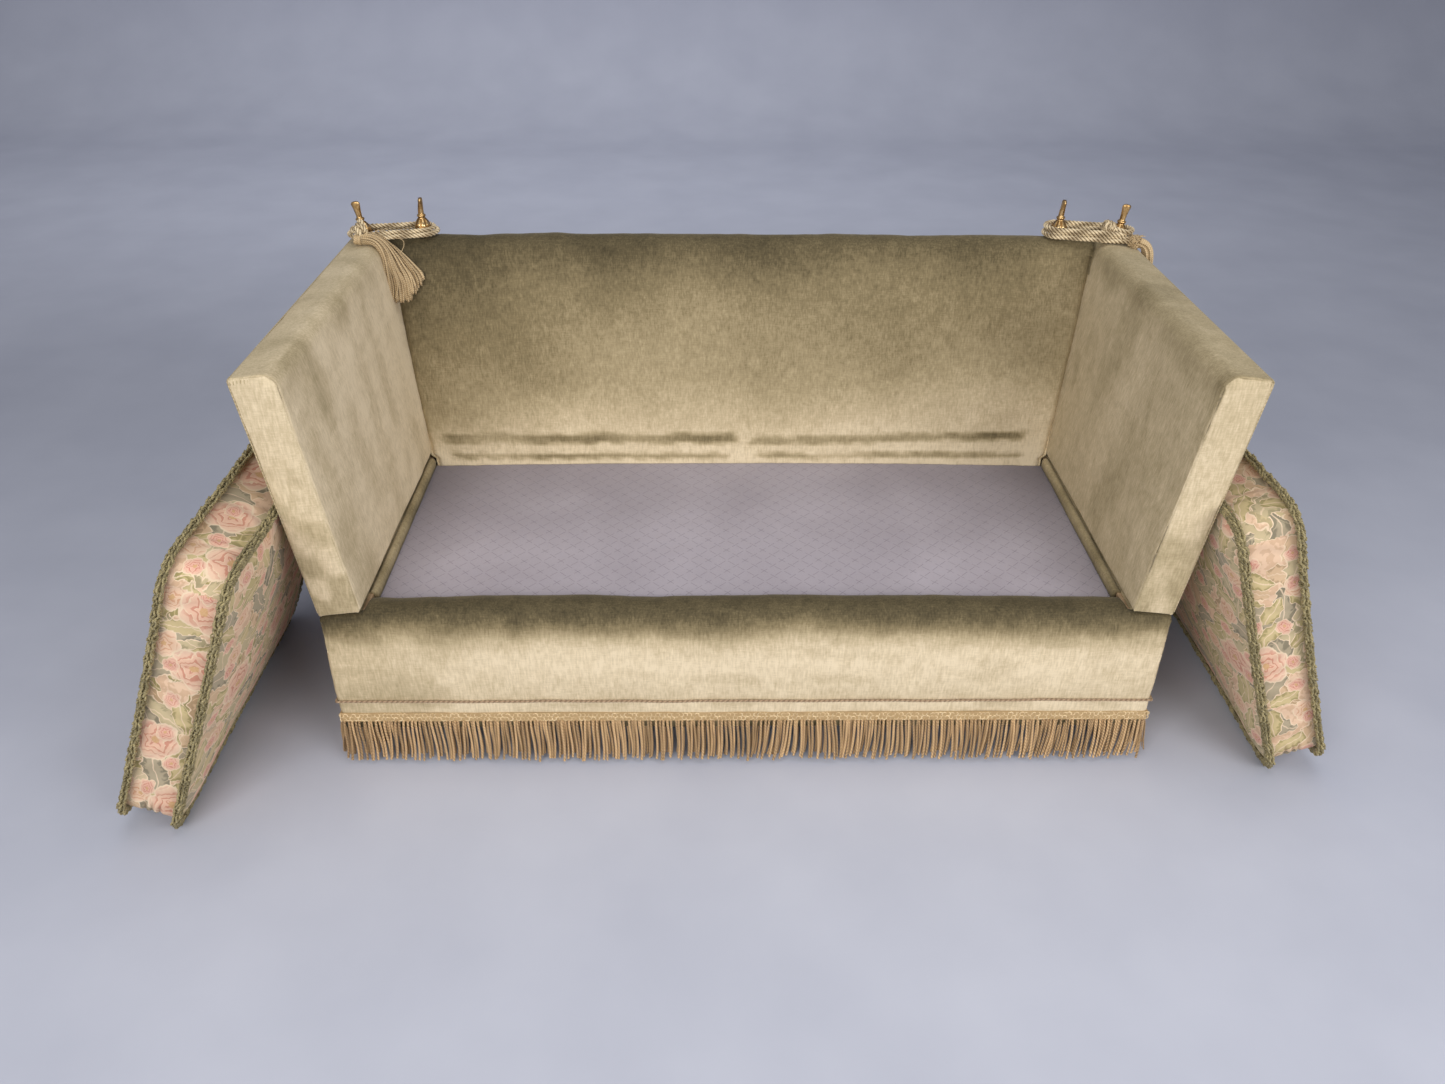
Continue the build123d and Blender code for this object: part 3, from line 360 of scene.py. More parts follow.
def platform_lining():
    """Plain lining with short dark dashes quilted in diamonds."""
    material, tree, shader = finish(
        "platform_lining", 0.62, Sheen_Weight=0.1, Specular_IOR_Level=0.25
    )
    quarter = math.radians(45)
    rows_per_metre = 1 / 0.027

    def dashes(turn, shift):
        x, y = parts_of(tree, object_place(tree, turn=(0, 0, turn)), 2)
        row = x * rows_per_metre
        line = (row.math("FRACT") - 0.5).math("ABSOLUTE").step(0.0, 0.032).from_one()
        along = (y * rows_per_metre + row.math("FLOOR") * 0.5 + shift).math("FRACT")
        dash = (along - 0.5).math("ABSOLUTE").step(0.33, 0.37).from_one()
        return line * dash

    drawn = dashes(quarter, 0.0).math("MAXIMUM", dashes(-quarter, 0.5))
    place = object_place(tree)
    threads = wave(tree, place, 260, "X") * 0.5 + wave(tree, place, 260, "Y") * 0.5
    nap = grain(tree, 700)
    tone = grain(tree, 5, 3, distortion=0.4) * 0.5 + nap * 0.3 + threads * 0.1
    cloth = ramp(tree, tone, [(0.25, (0.350, 0.312, 0.352)), (0.7, (0.500, 0.455, 0.505))])
    # painted shadow: the lining is darkened where the piece's attribute is low
    cloth = mixed(tree, attribute(tree, "tone_and_painted_light"), (0.120, 0.104, 0.116), cloth)
    cloth = mixed(tree, drawn * 0.7, cloth, (0.125, 0.105, 0.130))
    surface(tree, shader, cloth, nap * 0.4 + threads * 0.3 - drawn * 0.8, 0.0005, 0.5)
    return material


def gilt_brass():
    material, tree, shader = finish("gilt_brass", 0.26, Metallic=1.0)
    tarnish = grain(tree, 130, 4, distortion=0.3) * 0.6 + attribute(tree, "raised") * 0.35
    colour = ramp(tree, tarnish, [
        (0.35, (0.30, 0.16, 0.055)), (0.5, (0.62, 0.40, 0.17)), (0.75, (0.86, 0.62, 0.33)),
    ])
    feed(tree, shader.inputs["Roughness"], tarnish.step(0.3, 0.8) * -0.25 + 0.42)
    surface(tree, shader, colour, tarnish, 0.0006, 0.5)
    return material


def sawn_beech(name="beech_frame", dark=(0.33, 0.20, 0.10), light=(0.60, 0.43, 0.26), roughness=0.6):
    material, tree, shader = finish(name, roughness)
    rings = grain(tree, 60, 5, (1, 1, 0.12), 1.2)
    pores = grain(tree, 600, 2, (1, 1, 0.05))
    colour = ramp(tree, rings * 0.7 + pores * 0.3, [(0.3, dark), (0.7, light)])
    surface(tree, shader, colour, pores, 0.0004, 0.5)
    return material


def hinge_steel():
    material, tree, shader = finish("hinge_steel", 0.38, Metallic=1.0)
    brushed = grain(tree, 500, 3, (1, 0.05, 1))
    stain = grain(tree, 60, 3)
    tone = brushed * 0.5 + stain * 0.5
    colour = ramp(tree, tone, [(0.3, (0.30, 0.29, 0.27)), (0.7, (0.56, 0.55, 0.53))])
    feed(tree, shader.inputs["Roughness"], stain * 0.3 + 0.25)
    surface(tree, shader, colour, brushed, 0.0002, 0.4)
    return material


def plain_cloth(name, dark, light, thread, stripe=0.0):
    """A plain woven cloth with its warp and weft."""
    material, tree, shader = finish(name, 0.9, Sheen_Weight=0.05, Specular_IOR_Level=0.1)
    place = object_place(tree)
    slub = noise(tree, place, thread * 1.6, 3)
    warp, weft, rise = (wave(tree, place, thread, axis) for axis in "XYZ")
    weave = (warp + weft + rise) * 0.33
    tone = slub * 0.6 + weave * 0.4
    if stripe:
        tone = tone + wave(tree, place, stripe, "X") * 0.25
    colour = ramp(tree, tone, [(0.3, dark), (0.75, light)])
    surface(tree, shader, colour, weave * 0.7 + slub * 0.3, 0.0006, 0.7)
    return material


# Mesh tools

def lumps(points, size, seed, stretch=(1, 1, 1)):
    """Soft uneven shade or relief about 0, without repeats."""
    pick = np.random.default_rng(seed)
    total = np.zeros(len(points))
    count = 14
    for _ in range(count):
        way = pick.normal(size=3)
        way *= 2 * math.pi / size * pick.uniform(0.6, 1.5) / np.linalg.norm(way)
        total += np.sin(points @ (way / np.array(stretch)) + pick.uniform(0, 2 * math.pi))
    return total / math.sqrt(count)


def soft_step(value, low, high):
    t = np.clip((value - low) / (high - low), 0, 1)
    return t * t * (3 - 2 * t)


def box_shell(us, vs, ws):
    """The six sides of a box of grid lines, closed, and each corner's three measures."""
    lines = (us, vs, ws)
    last = [len(line) - 1 for line in lines]
    found = {}
    places = []
    faces = []

    def corner(key):
        if key not in found:
            found[key] = len(places)
            places.append([lines[i][key[i]] for i in range(3)])
        return found[key]

    for axis in range(3):
        a, b = (axis + 1) % 3, (axis + 2) % 3
        for end in (0, last[axis]):
            for i in range(last[a]):
                for j in range(last[b]):
                    ring = []
                    for di, dj in ((0, 0), (1, 0), (1, 1), (0, 1)):
                        key = [0, 0, 0]
                        key[axis], key[a], key[b] = end, i + di, j + dj
                        ring.append(corner(tuple(key)))
                    faces.append(ring if end else ring[::-1])
    return np.array(places, float), faces


def spaced(low, high, step, ends=()):
    """Grid lines from low to high about a step apart, with close ones near both ends."""
    inner = [e for e in ends if e < (high - low) / 2]
    start = low + (inner[-1] if inner else 0)
    stop = high - (inner[-1] if inner else 0)
    middle = np.linspace(start, stop, max(2, round((stop - start) / step) + 1))
    before = [low] + [low + e for e in inner[:-1]] if inner else []
    after = [high - e for e in inner[:-1]][::-1] + [high] if inner else []
    return np.array(list(before) + list(middle) + list(after))


def in_scene(name, data):
    obj = bpy.data.objects.new(name, data)
    bpy.context.scene.collection.objects.link(obj)
    return obj


def new_piece(name, points, faces, material, smooth=True):
    mesh = bpy.data.meshes.new(name)
    mesh.from_pydata(np.asarray(points).tolist(), [], [list(f) for f in faces])
    mesh.update()
    mesh.materials.append(material)
    if smooth:
        mesh.shade_smooth()
    return in_scene(name, mesh)


def settle(obj):
    """Keeps the mesh that a piece's modifiers make, without the modifiers."""
    made = bpy.data.meshes.new_from_object(obj.evaluated_get(bpy.context.evaluated_depsgraph_get()))
    obj.modifiers.clear()
    obj.data = made


def vertices_of(obj):
    points = np.zeros(len(obj.data.vertices) * 3)
    obj.data.vertices.foreach_get("co", points)
    normals = np.zeros(len(obj.data.vertices) * 3, np.float32)
    obj.data.vertex_normals.foreach_get("vector", normals)
    return points.reshape(-1, 3), normals.reshape(-1, 3).astype(float)


def set_vertices(obj, points):
    obj.data.vertices.foreach_set("co", np.asarray(points, float).ravel())
    obj.data.update()


def point_values(obj, name, values):
    kept = obj.data.attributes.new(name, "FLOAT", "POINT")
    kept.data.foreach_set("value", np.asarray(values, np.float32))


# stores a piece's tone together with its painted light and shade
def paint_tone_and_light(obj, shade, darkest=0.05):
    point_values(obj, "tone_and_painted_light", np.clip(shade, darkest, 1))


def from_front(x, y, z):
    """Points whose depths are counted from the sofa's front plane."""
    return np.stack([x, y + front_plane, z], axis=1)


def relief(obj, waves):
    """Moves each point along its normal by uneven waves of given sizes and heights."""
    points, normals = vertices_of(obj)
    for size, height, seed in waves:
        points = points + normals * (lumps(points, size, seed) * height)[:, None]
    set_vertices(obj, points)


def cloth_copy(name, node_name, material, step, height):
    """A node's own shape, cut finely enough to take a soft uneven surface."""
    work = bmesh.new()
    work.from_mesh(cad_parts[node_name].data)
    bmesh.ops.remove_doubles(work, verts=work.verts, dist=0.00002)
    places = np.array([v.co for v in work.verts])
    low, high = places.min(axis=0), places.max(axis=0)
    for axis in range(3):
        count = int((high[axis] - low[axis]) / step)
        for k in range(1, count):
            cut, across = [0, 0, 0], [0, 0, 0]
            cut[axis] = low[axis] + (high[axis] - low[axis]) * k / count
            across[axis] = 1
            everything = work.verts[:] + work.edges[:] + work.faces[:]
            bmesh.ops.bisect_plane(work, geom=everything, plane_co=cut, plane_no=across, dist=0.00001)
    mesh = bpy.data.meshes.new(name)
    work.to_mesh(mesh)
    work.free()
    mesh.materials.clear()
    mesh.materials.append(material)
    mesh.shade_flat()
    obj = in_scene(name, mesh)
    relief(obj, [(0.05, height, len(name)), (0.015, height * 0.5, len(name) + 1)])
    return obj


def belongs(obj, body, slot, *nodes):
    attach(obj, body)
    if nodes:
        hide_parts(*nodes)


def round_corner(points, corner, signs, radius, axes):
    """Draws the points of a square corner onto its arc."""
    centre = np.array(corner) - np.array(signs) * radius
    away = (points[:, axes] - centre) * np.array(signs)
    beyond = (away > 1e-9).all(axis=1)
    length = np.linalg.norm(away[beyond], axis=1)[:, None]
    moved = centre + np.array(signs) * away[beyond] / length * radius
    points[np.ix_(beyond, axes)] = moved
    return points


def frames_along(path):
    """A frame carried along a path without turning about it."""
    path = np.asarray(path, float)
    ways = np.gradient(path, axis=0)
    ways /= np.linalg.norm(ways, axis=1)[:, None]
    first = np.cross(ways[0], (0, 0, 1.0))
    if np.linalg.norm(first) < 0.1:
        first = np.cross(ways[0], (1.0, 0, 0))
    normals = [first / np.linalg.norm(first)]
    for way in ways[1:]:
        flat = normals[-1] - way * (normals[-1] @ way)
        normals.append(flat / np.linalg.norm(flat))
    normals = np.array(normals)
    return ways, normals, np.cross(ways, normals)


def distance_along(path):
    steps = np.linalg.norm(np.diff(path, axis=0), axis=1)
    return np.concatenate([[0], np.cumsum(steps)])


def ring_faces(rings, count):
    """Four-sided faces between rings of points that follow each other."""
    rows = np.arange(rings - 1)[:, None] * count
    columns = np.arange(count)[None, :]
    after = (columns + 1) % count
    sides_of = [rows + columns, rows + after, rows + count + after, rows + count + columns]
    return np.stack(sides_of, axis=-1).reshape(-1, 4).tolist()


def tube(path, radii, count=8, profile=None, turns_per_metre=0.0):
    """Points, faces and lay of a closed tube, whose profile may turn along it."""
    path = np.asarray(path, float)
    _, normals, binormals = frames_along(path)
    length = distance_along(path)
    radii = np.broadcast_to(radii, len(path))
    profile = np.ones(count) if profile is None else np.asarray(profile)
    count = len(profile)
    angles = 2 * math.pi * np.arange(count) / count
    spin = 2 * math.pi * turns_per_metre * length
    turned = angles[None, :] + spin[:, None]
    out = radii[:, None] * profile[None, :]
    points = (
        path[:, None]
        + (out * np.cos(turned))[:, :, None] * normals[:, None]
        + (out * np.sin(turned))[:, :, None] * binormals[:, None]
    ).reshape(-1, 3)
    ends = len(points)
    points = np.vstack([points, path[:1], path[-1:]])
    caps = [[ends, (i + 1) % count, i] for i in range(count)]
    top = (len(path) - 1) * count
    caps += [[ends + 1, top + i, top + (i + 1) % count] for i in range(count)]
    lay = np.zeros((len(points), 3))
    lay[:ends, 0] = np.tile(np.cos(angles), len(path))
    lay[:ends, 1] = np.tile(np.sin(angles), len(path))
    lay[:ends, 2] = np.repeat(length, count)
    lay[ends + 1, 2] = length[-1]
    return points, ring_faces(len(path), count) + caps, lay


def tubes_piece(name, tubes, material, tones=None):
    """One piece of many tubes, with the lay and a tone of its own for each."""
    points, faces, lays, tone = [], [], [], []
    start = 0
    for i, (p, f, lay) in enumerate(tubes):
        points.append(p)
        faces.extend([[k + start for k in face] for face in f])
        lays.append(lay)
        tone.append(np.full(len(p), 0.5 if tones is None else tones[i]))
        start += len(p)
    obj = new_piece(name, np.vstack(points), faces, material)
    kept = obj.data.attributes.new("lay", "FLOAT_VECTOR", "POINT")
    kept.data.foreach_set("vector", np.vstack(lays).astype(np.float32).ravel())
    point_values(obj, "tone", np.concatenate(tone))
    return obj


def smooth_line(points):
    """The line of a NURBS spline with these control points."""
    curve = bpy.data.curves.new("route", "CURVE")
    curve.dimensions = "3D"
    curve.resolution_u = 24
    spline = curve.splines.new("NURBS")
    spline.points.add(len(points) - 1)
    for kept, point in zip(spline.points, points):
        kept.co = (*point, 1)
    spline.order_u = 3
    spline.use_endpoint_u = True
    holder = bpy.data.objects.new("route", curve)
    mesh = bpy.data.meshes.new_from_object(holder)
    line = np.array([v.co for v in mesh.vertices], float)
    bpy.data.objects.remove(holder)
    bpy.data.curves.remove(curve)
    bpy.data.meshes.remove(mesh)
    return line


def evenly(path, step):
    """The same line with points a step apart."""
    length = distance_along(path)
    at = np.linspace(0, length[-1], max(2, math.ceil(length[-1] / step)))
    return np.stack([np.interp(at, length, path[:, k]) for k in range(3)], axis=1)


# Velvet pieces

velvet = olive_velvet()


def arm_to_world(points, side):
    """From an arm's own upright axes to the leaned arm."""
    x, y, z = points.T
    c, s = math.cos(arm_lean), math.sin(arm_lean)
    return from_front(side * (hinge_x + x * c + z * s), y, rail_height - x * s + z * c)


def turned_faces(faces, flip):
    """The same faces, or wound the other way round for a mirrored piece."""
    return [face[::-1] for face in faces] if flip else faces


def arm_pad(name, side):
    """A drop arm's stuffed cover."""
    us = spaced(arm_inner_x, arm_outer_x, 0.009, (0.002, 0.005, 0.009, 0.017))
    vs = spaced(0, arm_depth, 0.008, (0.0015, 0.004, 0.009))
    ws = spaced(arm_foot_z, arm_top_z, 0.008, (0.0015, 0.004, 0.008, 0.013, 0.020, 0.026))
    sharp, faces = box_shell(us, vs, ws)
    points = sharp.copy()
    for corner, signs, radius in (
        ((arm_outer_x, arm_foot_z), (1, -1), 0.006),
        ((arm_outer_x, arm_top_z), (1, 1), 0.008),
        ((arm_inner_x, arm_top_z), (-1, 1), 0.026),
        ((arm_inner_x, arm_foot_z), (-1, -1), 0.008),
    ):
        points = round_corner(points, corner, signs, radius, [0, 2])
    half = (arm_outer_x - arm_inner_x) / 2
    middle_x = np.full(len(points), arm_inner_x + half)
    spine = np.stack([middle_x, np.clip(points[:, 2], arm_foot_z + half, arm_top_z - half)], axis=1)
    out = points[:, [0, 2]] - spine
    reach = np.maximum(np.linalg.norm(out, axis=1), 1e-6)
    rim = (
        (np.abs(sharp[:, 0] - arm_inner_x) < 1e-6)
        | (np.abs(sharp[:, 0] - arm_outer_x) < 1e-6)
        | (np.abs(sharp[:, 2] - arm_foot_z) < 1e-6)
        | (np.abs(sharp[:, 2] - arm_top_z) < 1e-6)
    )
    end_round = 0.006
    near = np.minimum(sharp[:, 1], arm_depth - sharp[:, 1])
    inset = end_round - np.sqrt(np.maximum(end_round ** 2 - np.clip(end_round - near, 0, None) ** 2, 0))
    most = end_round * 0.3
    inset = np.where(near < 1e-6, most, np.minimum(inset, most))
    inset = np.where(rim, inset, 0)
    points[:, [0, 2]] -= out / reach[:, None] * inset[:, None]
    lift = np.where(rim & (near < 1e-6), most, 0)
    points[:, 1] += np.where(sharp[:, 1] < arm_depth / 2, lift, -lift)

    along = np.clip(sharp[:, 1] / arm_depth, 0, 1)
    rise = np.clip((sharp[:, 2] - arm_foot_z) / (arm_top_z - arm_foot_z), 0, 1)
    across = np.clip((sharp[:, 0] - arm_inner_x) / (2 * half), 0, 1)
    crown = (1 - np.abs(2 * along - 1) ** 4) * (1 - np.abs(2 * rise - 1) ** 4)
    points[:, 0] -= np.where(sharp[:, 0] < arm_inner_x + 1e-6, crown * 0.005, 0)
    front_crown = (1 - np.abs(2 * across - 1) ** 3) * (1 - np.abs(2 * rise - 1) ** 8)
    points[:, 1] -= np.where(sharp[:, 1] < 1e-6, front_crown * 0.004, 0)

    world = arm_to_world(points, side)
    obj = new_piece(name + "_arm_pad", world, turned_faces(faces, side < 0), velvet)
    relief(obj, [(0.24, 0.0010, 11 + side), (0.05, 0.0003, 21 + side)])
    world, normals = vertices_of(obj)

    # painted light and shade: tops and outer faces darker and the front lighter, as light falls on them, and
    # the left arm painted lighter than the right
    inward = -normals[:, 0] * side
    front = soft_step(-normals[:, 1], 0.4, 0.8)
    top = soft_step(normals[:, 2], 0.35, 0.75)
    outer = soft_step(-inward, 0.4, 0.8)
    shade = np.full(len(world), 0.72 if side > 0 else 0.93)
    shade += top * (-0.13 if side > 0 else -0.19) + outer * (-0.10 if side > 0 else -0.19)
    shade = shade * (1 - front) + 0.84 * front
    # brushed strokes that lean the same way as a hand wiping down and forward
    strokes = lumps(world, 0.30, 31 + side, (1, 0.5, 1.6))
    strokes += 0.6 * lumps(world, 0.09, 41 + side, (1, 0.5, 1.4))
    shade -= 0.10 * soft_step(strokes, 0.1, 1.6) * (1 - 0.3 * front)
    shade += 0.06 * soft_step(-strokes, 0.3, 1.6)
    # darker along the inner top edge and beside the front edge
    shoulder = np.exp(-((rise - 0.93) / 0.05) ** 2) * (inward > 0.3)
    shade -= 0.16 * shoulder * soft_step(lumps(world, 0.2, 36 + side), -0.9, 0.6)
    front_edge_band = np.exp(-((along - 0.10 - 0.05 * lumps(world, 0.25, 38 + side)) / 0.07) ** 2) * (inward > 0.3)
    shade -= (0.17 if side < 0 else 0.03) * front_edge_band
    # darker towards the bottom of the front and just under the top edge of the sides
    low = soft_step(-rise + 0.25 * lumps(world, 0.1, 51 + side), -0.38, -0.05)
    shade -= 0.2 * low * front
    shade -= 0.12 * soft_step(rise, 0.90, 0.99) * (1 - top) * (1 - front)
    paint_tone_and_light(obj, shade)
    belongs(obj, name + "_arm", "olive_velvet", name + "_arm_upholstery")


def arm_seams(name, side):
    """The knife-edge welt round the arm's outer edge and the gathered seam over its front panel."""
    edge_x, edge_z = arm_outer_x - 0.0022, arm_top_z - 0.0024
    welt = [(arm_outer_x - 0.0008, 0.0012, z) for z in np.linspace(0.008, arm_top_z - 0.012, 12)]
    welt += [(arm_outer_x - 0.0012, 0.0020, arm_top_z - 0.0040), (edge_x, 0.0070, edge_z + 0.0006)]
    welt += [(edge_x, y, edge_z) for y in np.linspace(0.02, arm_depth - 0.02, 16)]
    welt += [(edge_x, arm_depth - 0.0070, edge_z + 0.0006)]
    welt += [(arm_outer_x - 0.0012, arm_depth - 0.002, arm_top_z - 0.004)]
    welt += [(arm_outer_x - 0.0008, arm_depth - 0.0012, z) for z in np.linspace(arm_top_z - 0.012, 0.008, 12)]
    line = evenly(np.array(welt), 0.0018)
    at = distance_along(line)
    radii = 0.0012 + 0.0005 * np.sin(at * 2 * math.pi / 0.0085 + 0.8 * lumps(line, 0.05, 140)) ** 2
    parts = [tube(line, radii, count=6)]
    head = [(x, 0.0016, arm_top_z - 0.0030 - 0.0006 * math.sin(4 * k))
            for k, x in enumerate(np.linspace(arm_outer_x - 0.004, arm_inner_x + 0.020, 9))]
    head += [(arm_inner_x + 0.010, 0.0018, arm_top_z - 0.0075)]
    line = evenly(np.array(head), 0.0016)
    at = distance_along(line)
    parts.append(tube(line, 0.0009 + 0.0004 * np.sin(at * 2 * math.pi / 0.0075) ** 2, count=6))
    for k, x in enumerate(np.arange(arm_inner_x + 0.014, arm_outer_x - 0.004, 0.0062)):
        reach = 0.0055 + 0.003 * abs(math.sin(2.3 * k))
        head_z = arm_top_z - 0.005
        fold = [(x, 0.0006, head_z + 0.0008), (x + 0.0012, -0.0002, head_z - reach * 0.5)]
        fold += [(x + 0.002, 0.0002, head_z - reach)]
        parts.append(tube(np.array(fold), [0.0013, 0.0011, 0.0004], count=6))
    made = [(arm_to_world(points, side), turned_faces(faces, side < 0), lay) for points, faces, lay in parts]
    obj = tubes_piece(name + "_arm_seams", made, velvet)
    points, _ = vertices_of(obj)
    # the tone alternates lighter and darker along the seams
    point_values(obj, "tone_and_painted_light", 0.66 + 0.10 * np.sin(points[:, 1] * 700 + points[:, 2] * 800))
    belongs(obj, name + "_arm", "olive_velvet")


def curve_through(points):
    """A function of 0 to 1 along straight or curved runs through points."""
    points = np.array(points, float)
    length = distance_along(points)
    share = length / length[-1]
    return lambda t: np.stack([np.interp(t, share, points[:, k]) for k in range(points.shape[1])], axis=-1)


def arc_points(a, middle, b, count=24):
    """Points of a circle's arc through three points of a plane."""
    (ax, ay), (bx, by), (cx, cy) = a, middle, b
    d = 2 * (ax * (by - cy) + bx * (cy - ay) + cx * (ay - by))
    aa, bb, cc = ax**2 + ay**2, bx**2 + by**2, cx**2 + cy**2
    ux = (aa * (by - cy) + bb * (cy - ay) + cc * (ay - by)) / d
    uy = (aa * (cx - bx) + bb * (ax - cx) + cc * (bx - ax)) / d
    angles = np.unwrap([math.atan2(y - uy, x - ux) for x, y in (a, middle, b)])
    radius = math.hypot(ax - ux, ay - uy)
    sweep = np.interp(np.linspace(0, 1, count), [0, 0.5, 1], angles)
    return [(ux + radius * math.cos(t), uy + radius * math.sin(t)) for t in sweep]


def coons(v, w, low, high, near, far):
    """A patch between four lines: low and high run along v, near and far along w."""
    v, w = v[:, None], w[:, None]
    flat_v, flat_w = v[:, 0], w[:, 0]
    ruled = (1 - w) * low(flat_v) + w * high(flat_v) + (1 - v) * near(flat_w) + v * far(flat_w)
    zero, one = np.zeros(1), np.ones(1)
    corners = (
        (1 - v) * (1 - w) * low(zero) + v * (1 - w) * low(one) + (1 - v) * w * high(zero) + v * w * high(one)
    )
    return ruled - corners


def back_pad():
    """The stuffed back, between the arms' leaning planes."""
    foot, belly, brow = (0.615, 0.340), (0.6575, 0.586), (0.714, 0.832)
    crest, nape, heel = (0.749, 0.863), (0.785, 0.842), (0.785, 0.340)
    near = curve_through(arc_points(foot, belly, brow))
    high = curve_through(arc_points(brow, crest, nape))
    far = curve_through([heel, nape])
    low = curve_through([foot, heel])
    us = spaced(-1, 1, 0.0115, (0.002, 0.006, 0.012, 0.02))
    vs = spaced(0, 1, 0.09, (0.02, 0.06))
    ws = spaced(0, 1, 0.016, (0.003, 0.008, 0.016))
    shares, faces = box_shell(us, vs, ws)
    section = coons(shares[:, 1], shares[:, 2], low, high, near, far)
    y, z = section.T
    reach = back_reach + back_lean * (z - rail_height)
    reach = np.where(z < 0.3688, np.minimum(reach, 0.7267), reach)
    x = shares[:, 0] * reach
    # the sides of the front and top turn in a little before the arms
    edge = soft_step(np.abs(shares[:, 0]), 0.984, 1.0)
    front = shares[:, 1] < 1e-6
    y = y + np.where(front, edge * 0.009, 0)
    z = z - np.where(shares[:, 2] > 1 - 1e-6, edge * 0.006, 0)
    hang = np.abs(shares[:, 0]) ** 2
    z = z + np.where(shares[:, 2] > 1 - 1e-6, (hang - 0.5) * -0.003, 0)
    fullness = (1 - np.abs(shares[:, 0]) ** 6) * (1 - np.abs(2 * shares[:, 2] - 1) ** 4)
    y = y - np.where(front, fullness * 0.004, 0)
    obj = new_piece("back_pad", from_front(x, y, z), faces, velvet)
    relief(obj, [(0.25, 0.0016, 61), (0.07, 0.0006, 62)])
    points, normals = vertices_of(obj)
    x, z = points[:, 0], points[:, 2]

    # painted light and shade: the face is lighter low down and darker towards the top, darker on the left and
    # lighter on the right
    heights = [0.31, 0.36, 0.385, 0.42, 0.48, 0.56, 0.66, 0.76, 0.82, 0.86]
    shades = [1.00, 0.98, 0.92, 0.88, 0.74, 0.57, 0.46, 0.36, 0.24, 0.12]
    shade = np.interp(z + 0.012 * lumps(points, 0.2, 63), heights, shades)
    shade += 0.06 * lumps(points, 0.35, 64) * soft_step(z, 0.4, 0.6)
    shade -= 0.20 * soft_step(-x, 0.35, 0.78) * soft_step(z, 0.36, 0.5)
    shade += 0.06 * soft_step(x, 0.25, 0.7)
    for low_z, high_z, x_near, x_far, slope, seed in (
        (0.405, 0.428, -0.700, -0.020, -0.002, 65),
        (0.364, 0.378, -0.698, -0.043, 0.000, 66),
        (0.399, 0.418, 0.024, 0.690, 0.016, 67),
        (0.364, 0.378, 0.048, 0.686, 0.004, 68),
    ):
        level = z - slope * (np.abs(x) / 0.69) + 0.002 * lumps(points, 0.05, seed)
        inside = soft_step(level, low_z - 0.004, low_z + 0.004)
        inside *= soft_step(-level, -high_z - 0.004, -high_z + 0.004)
        end = 0.012 * lumps(points, 0.04, seed + 10)
        inside *= soft_step(x + end, x_near - 0.012, x_near + 0.012)
        inside *= soft_step(-x + end, -x_far - 0.012, -x_far + 0.012)
        worn = 0.36 + 0.09 * lumps(points, 0.06, seed + 20, (4, 1, 1))
        shade -= inside * worn * (normals[:, 1] < -0.3)
    rear = soft_step(normals[:, 1], 0.3, 0.7)
    shade = shade * (1 - rear) + 0.5 * rear
    paint_tone_and_light(obj, shade, 0.03)
    belongs(obj, "sofa_frame", "olive_velvet", "back_upholstery")


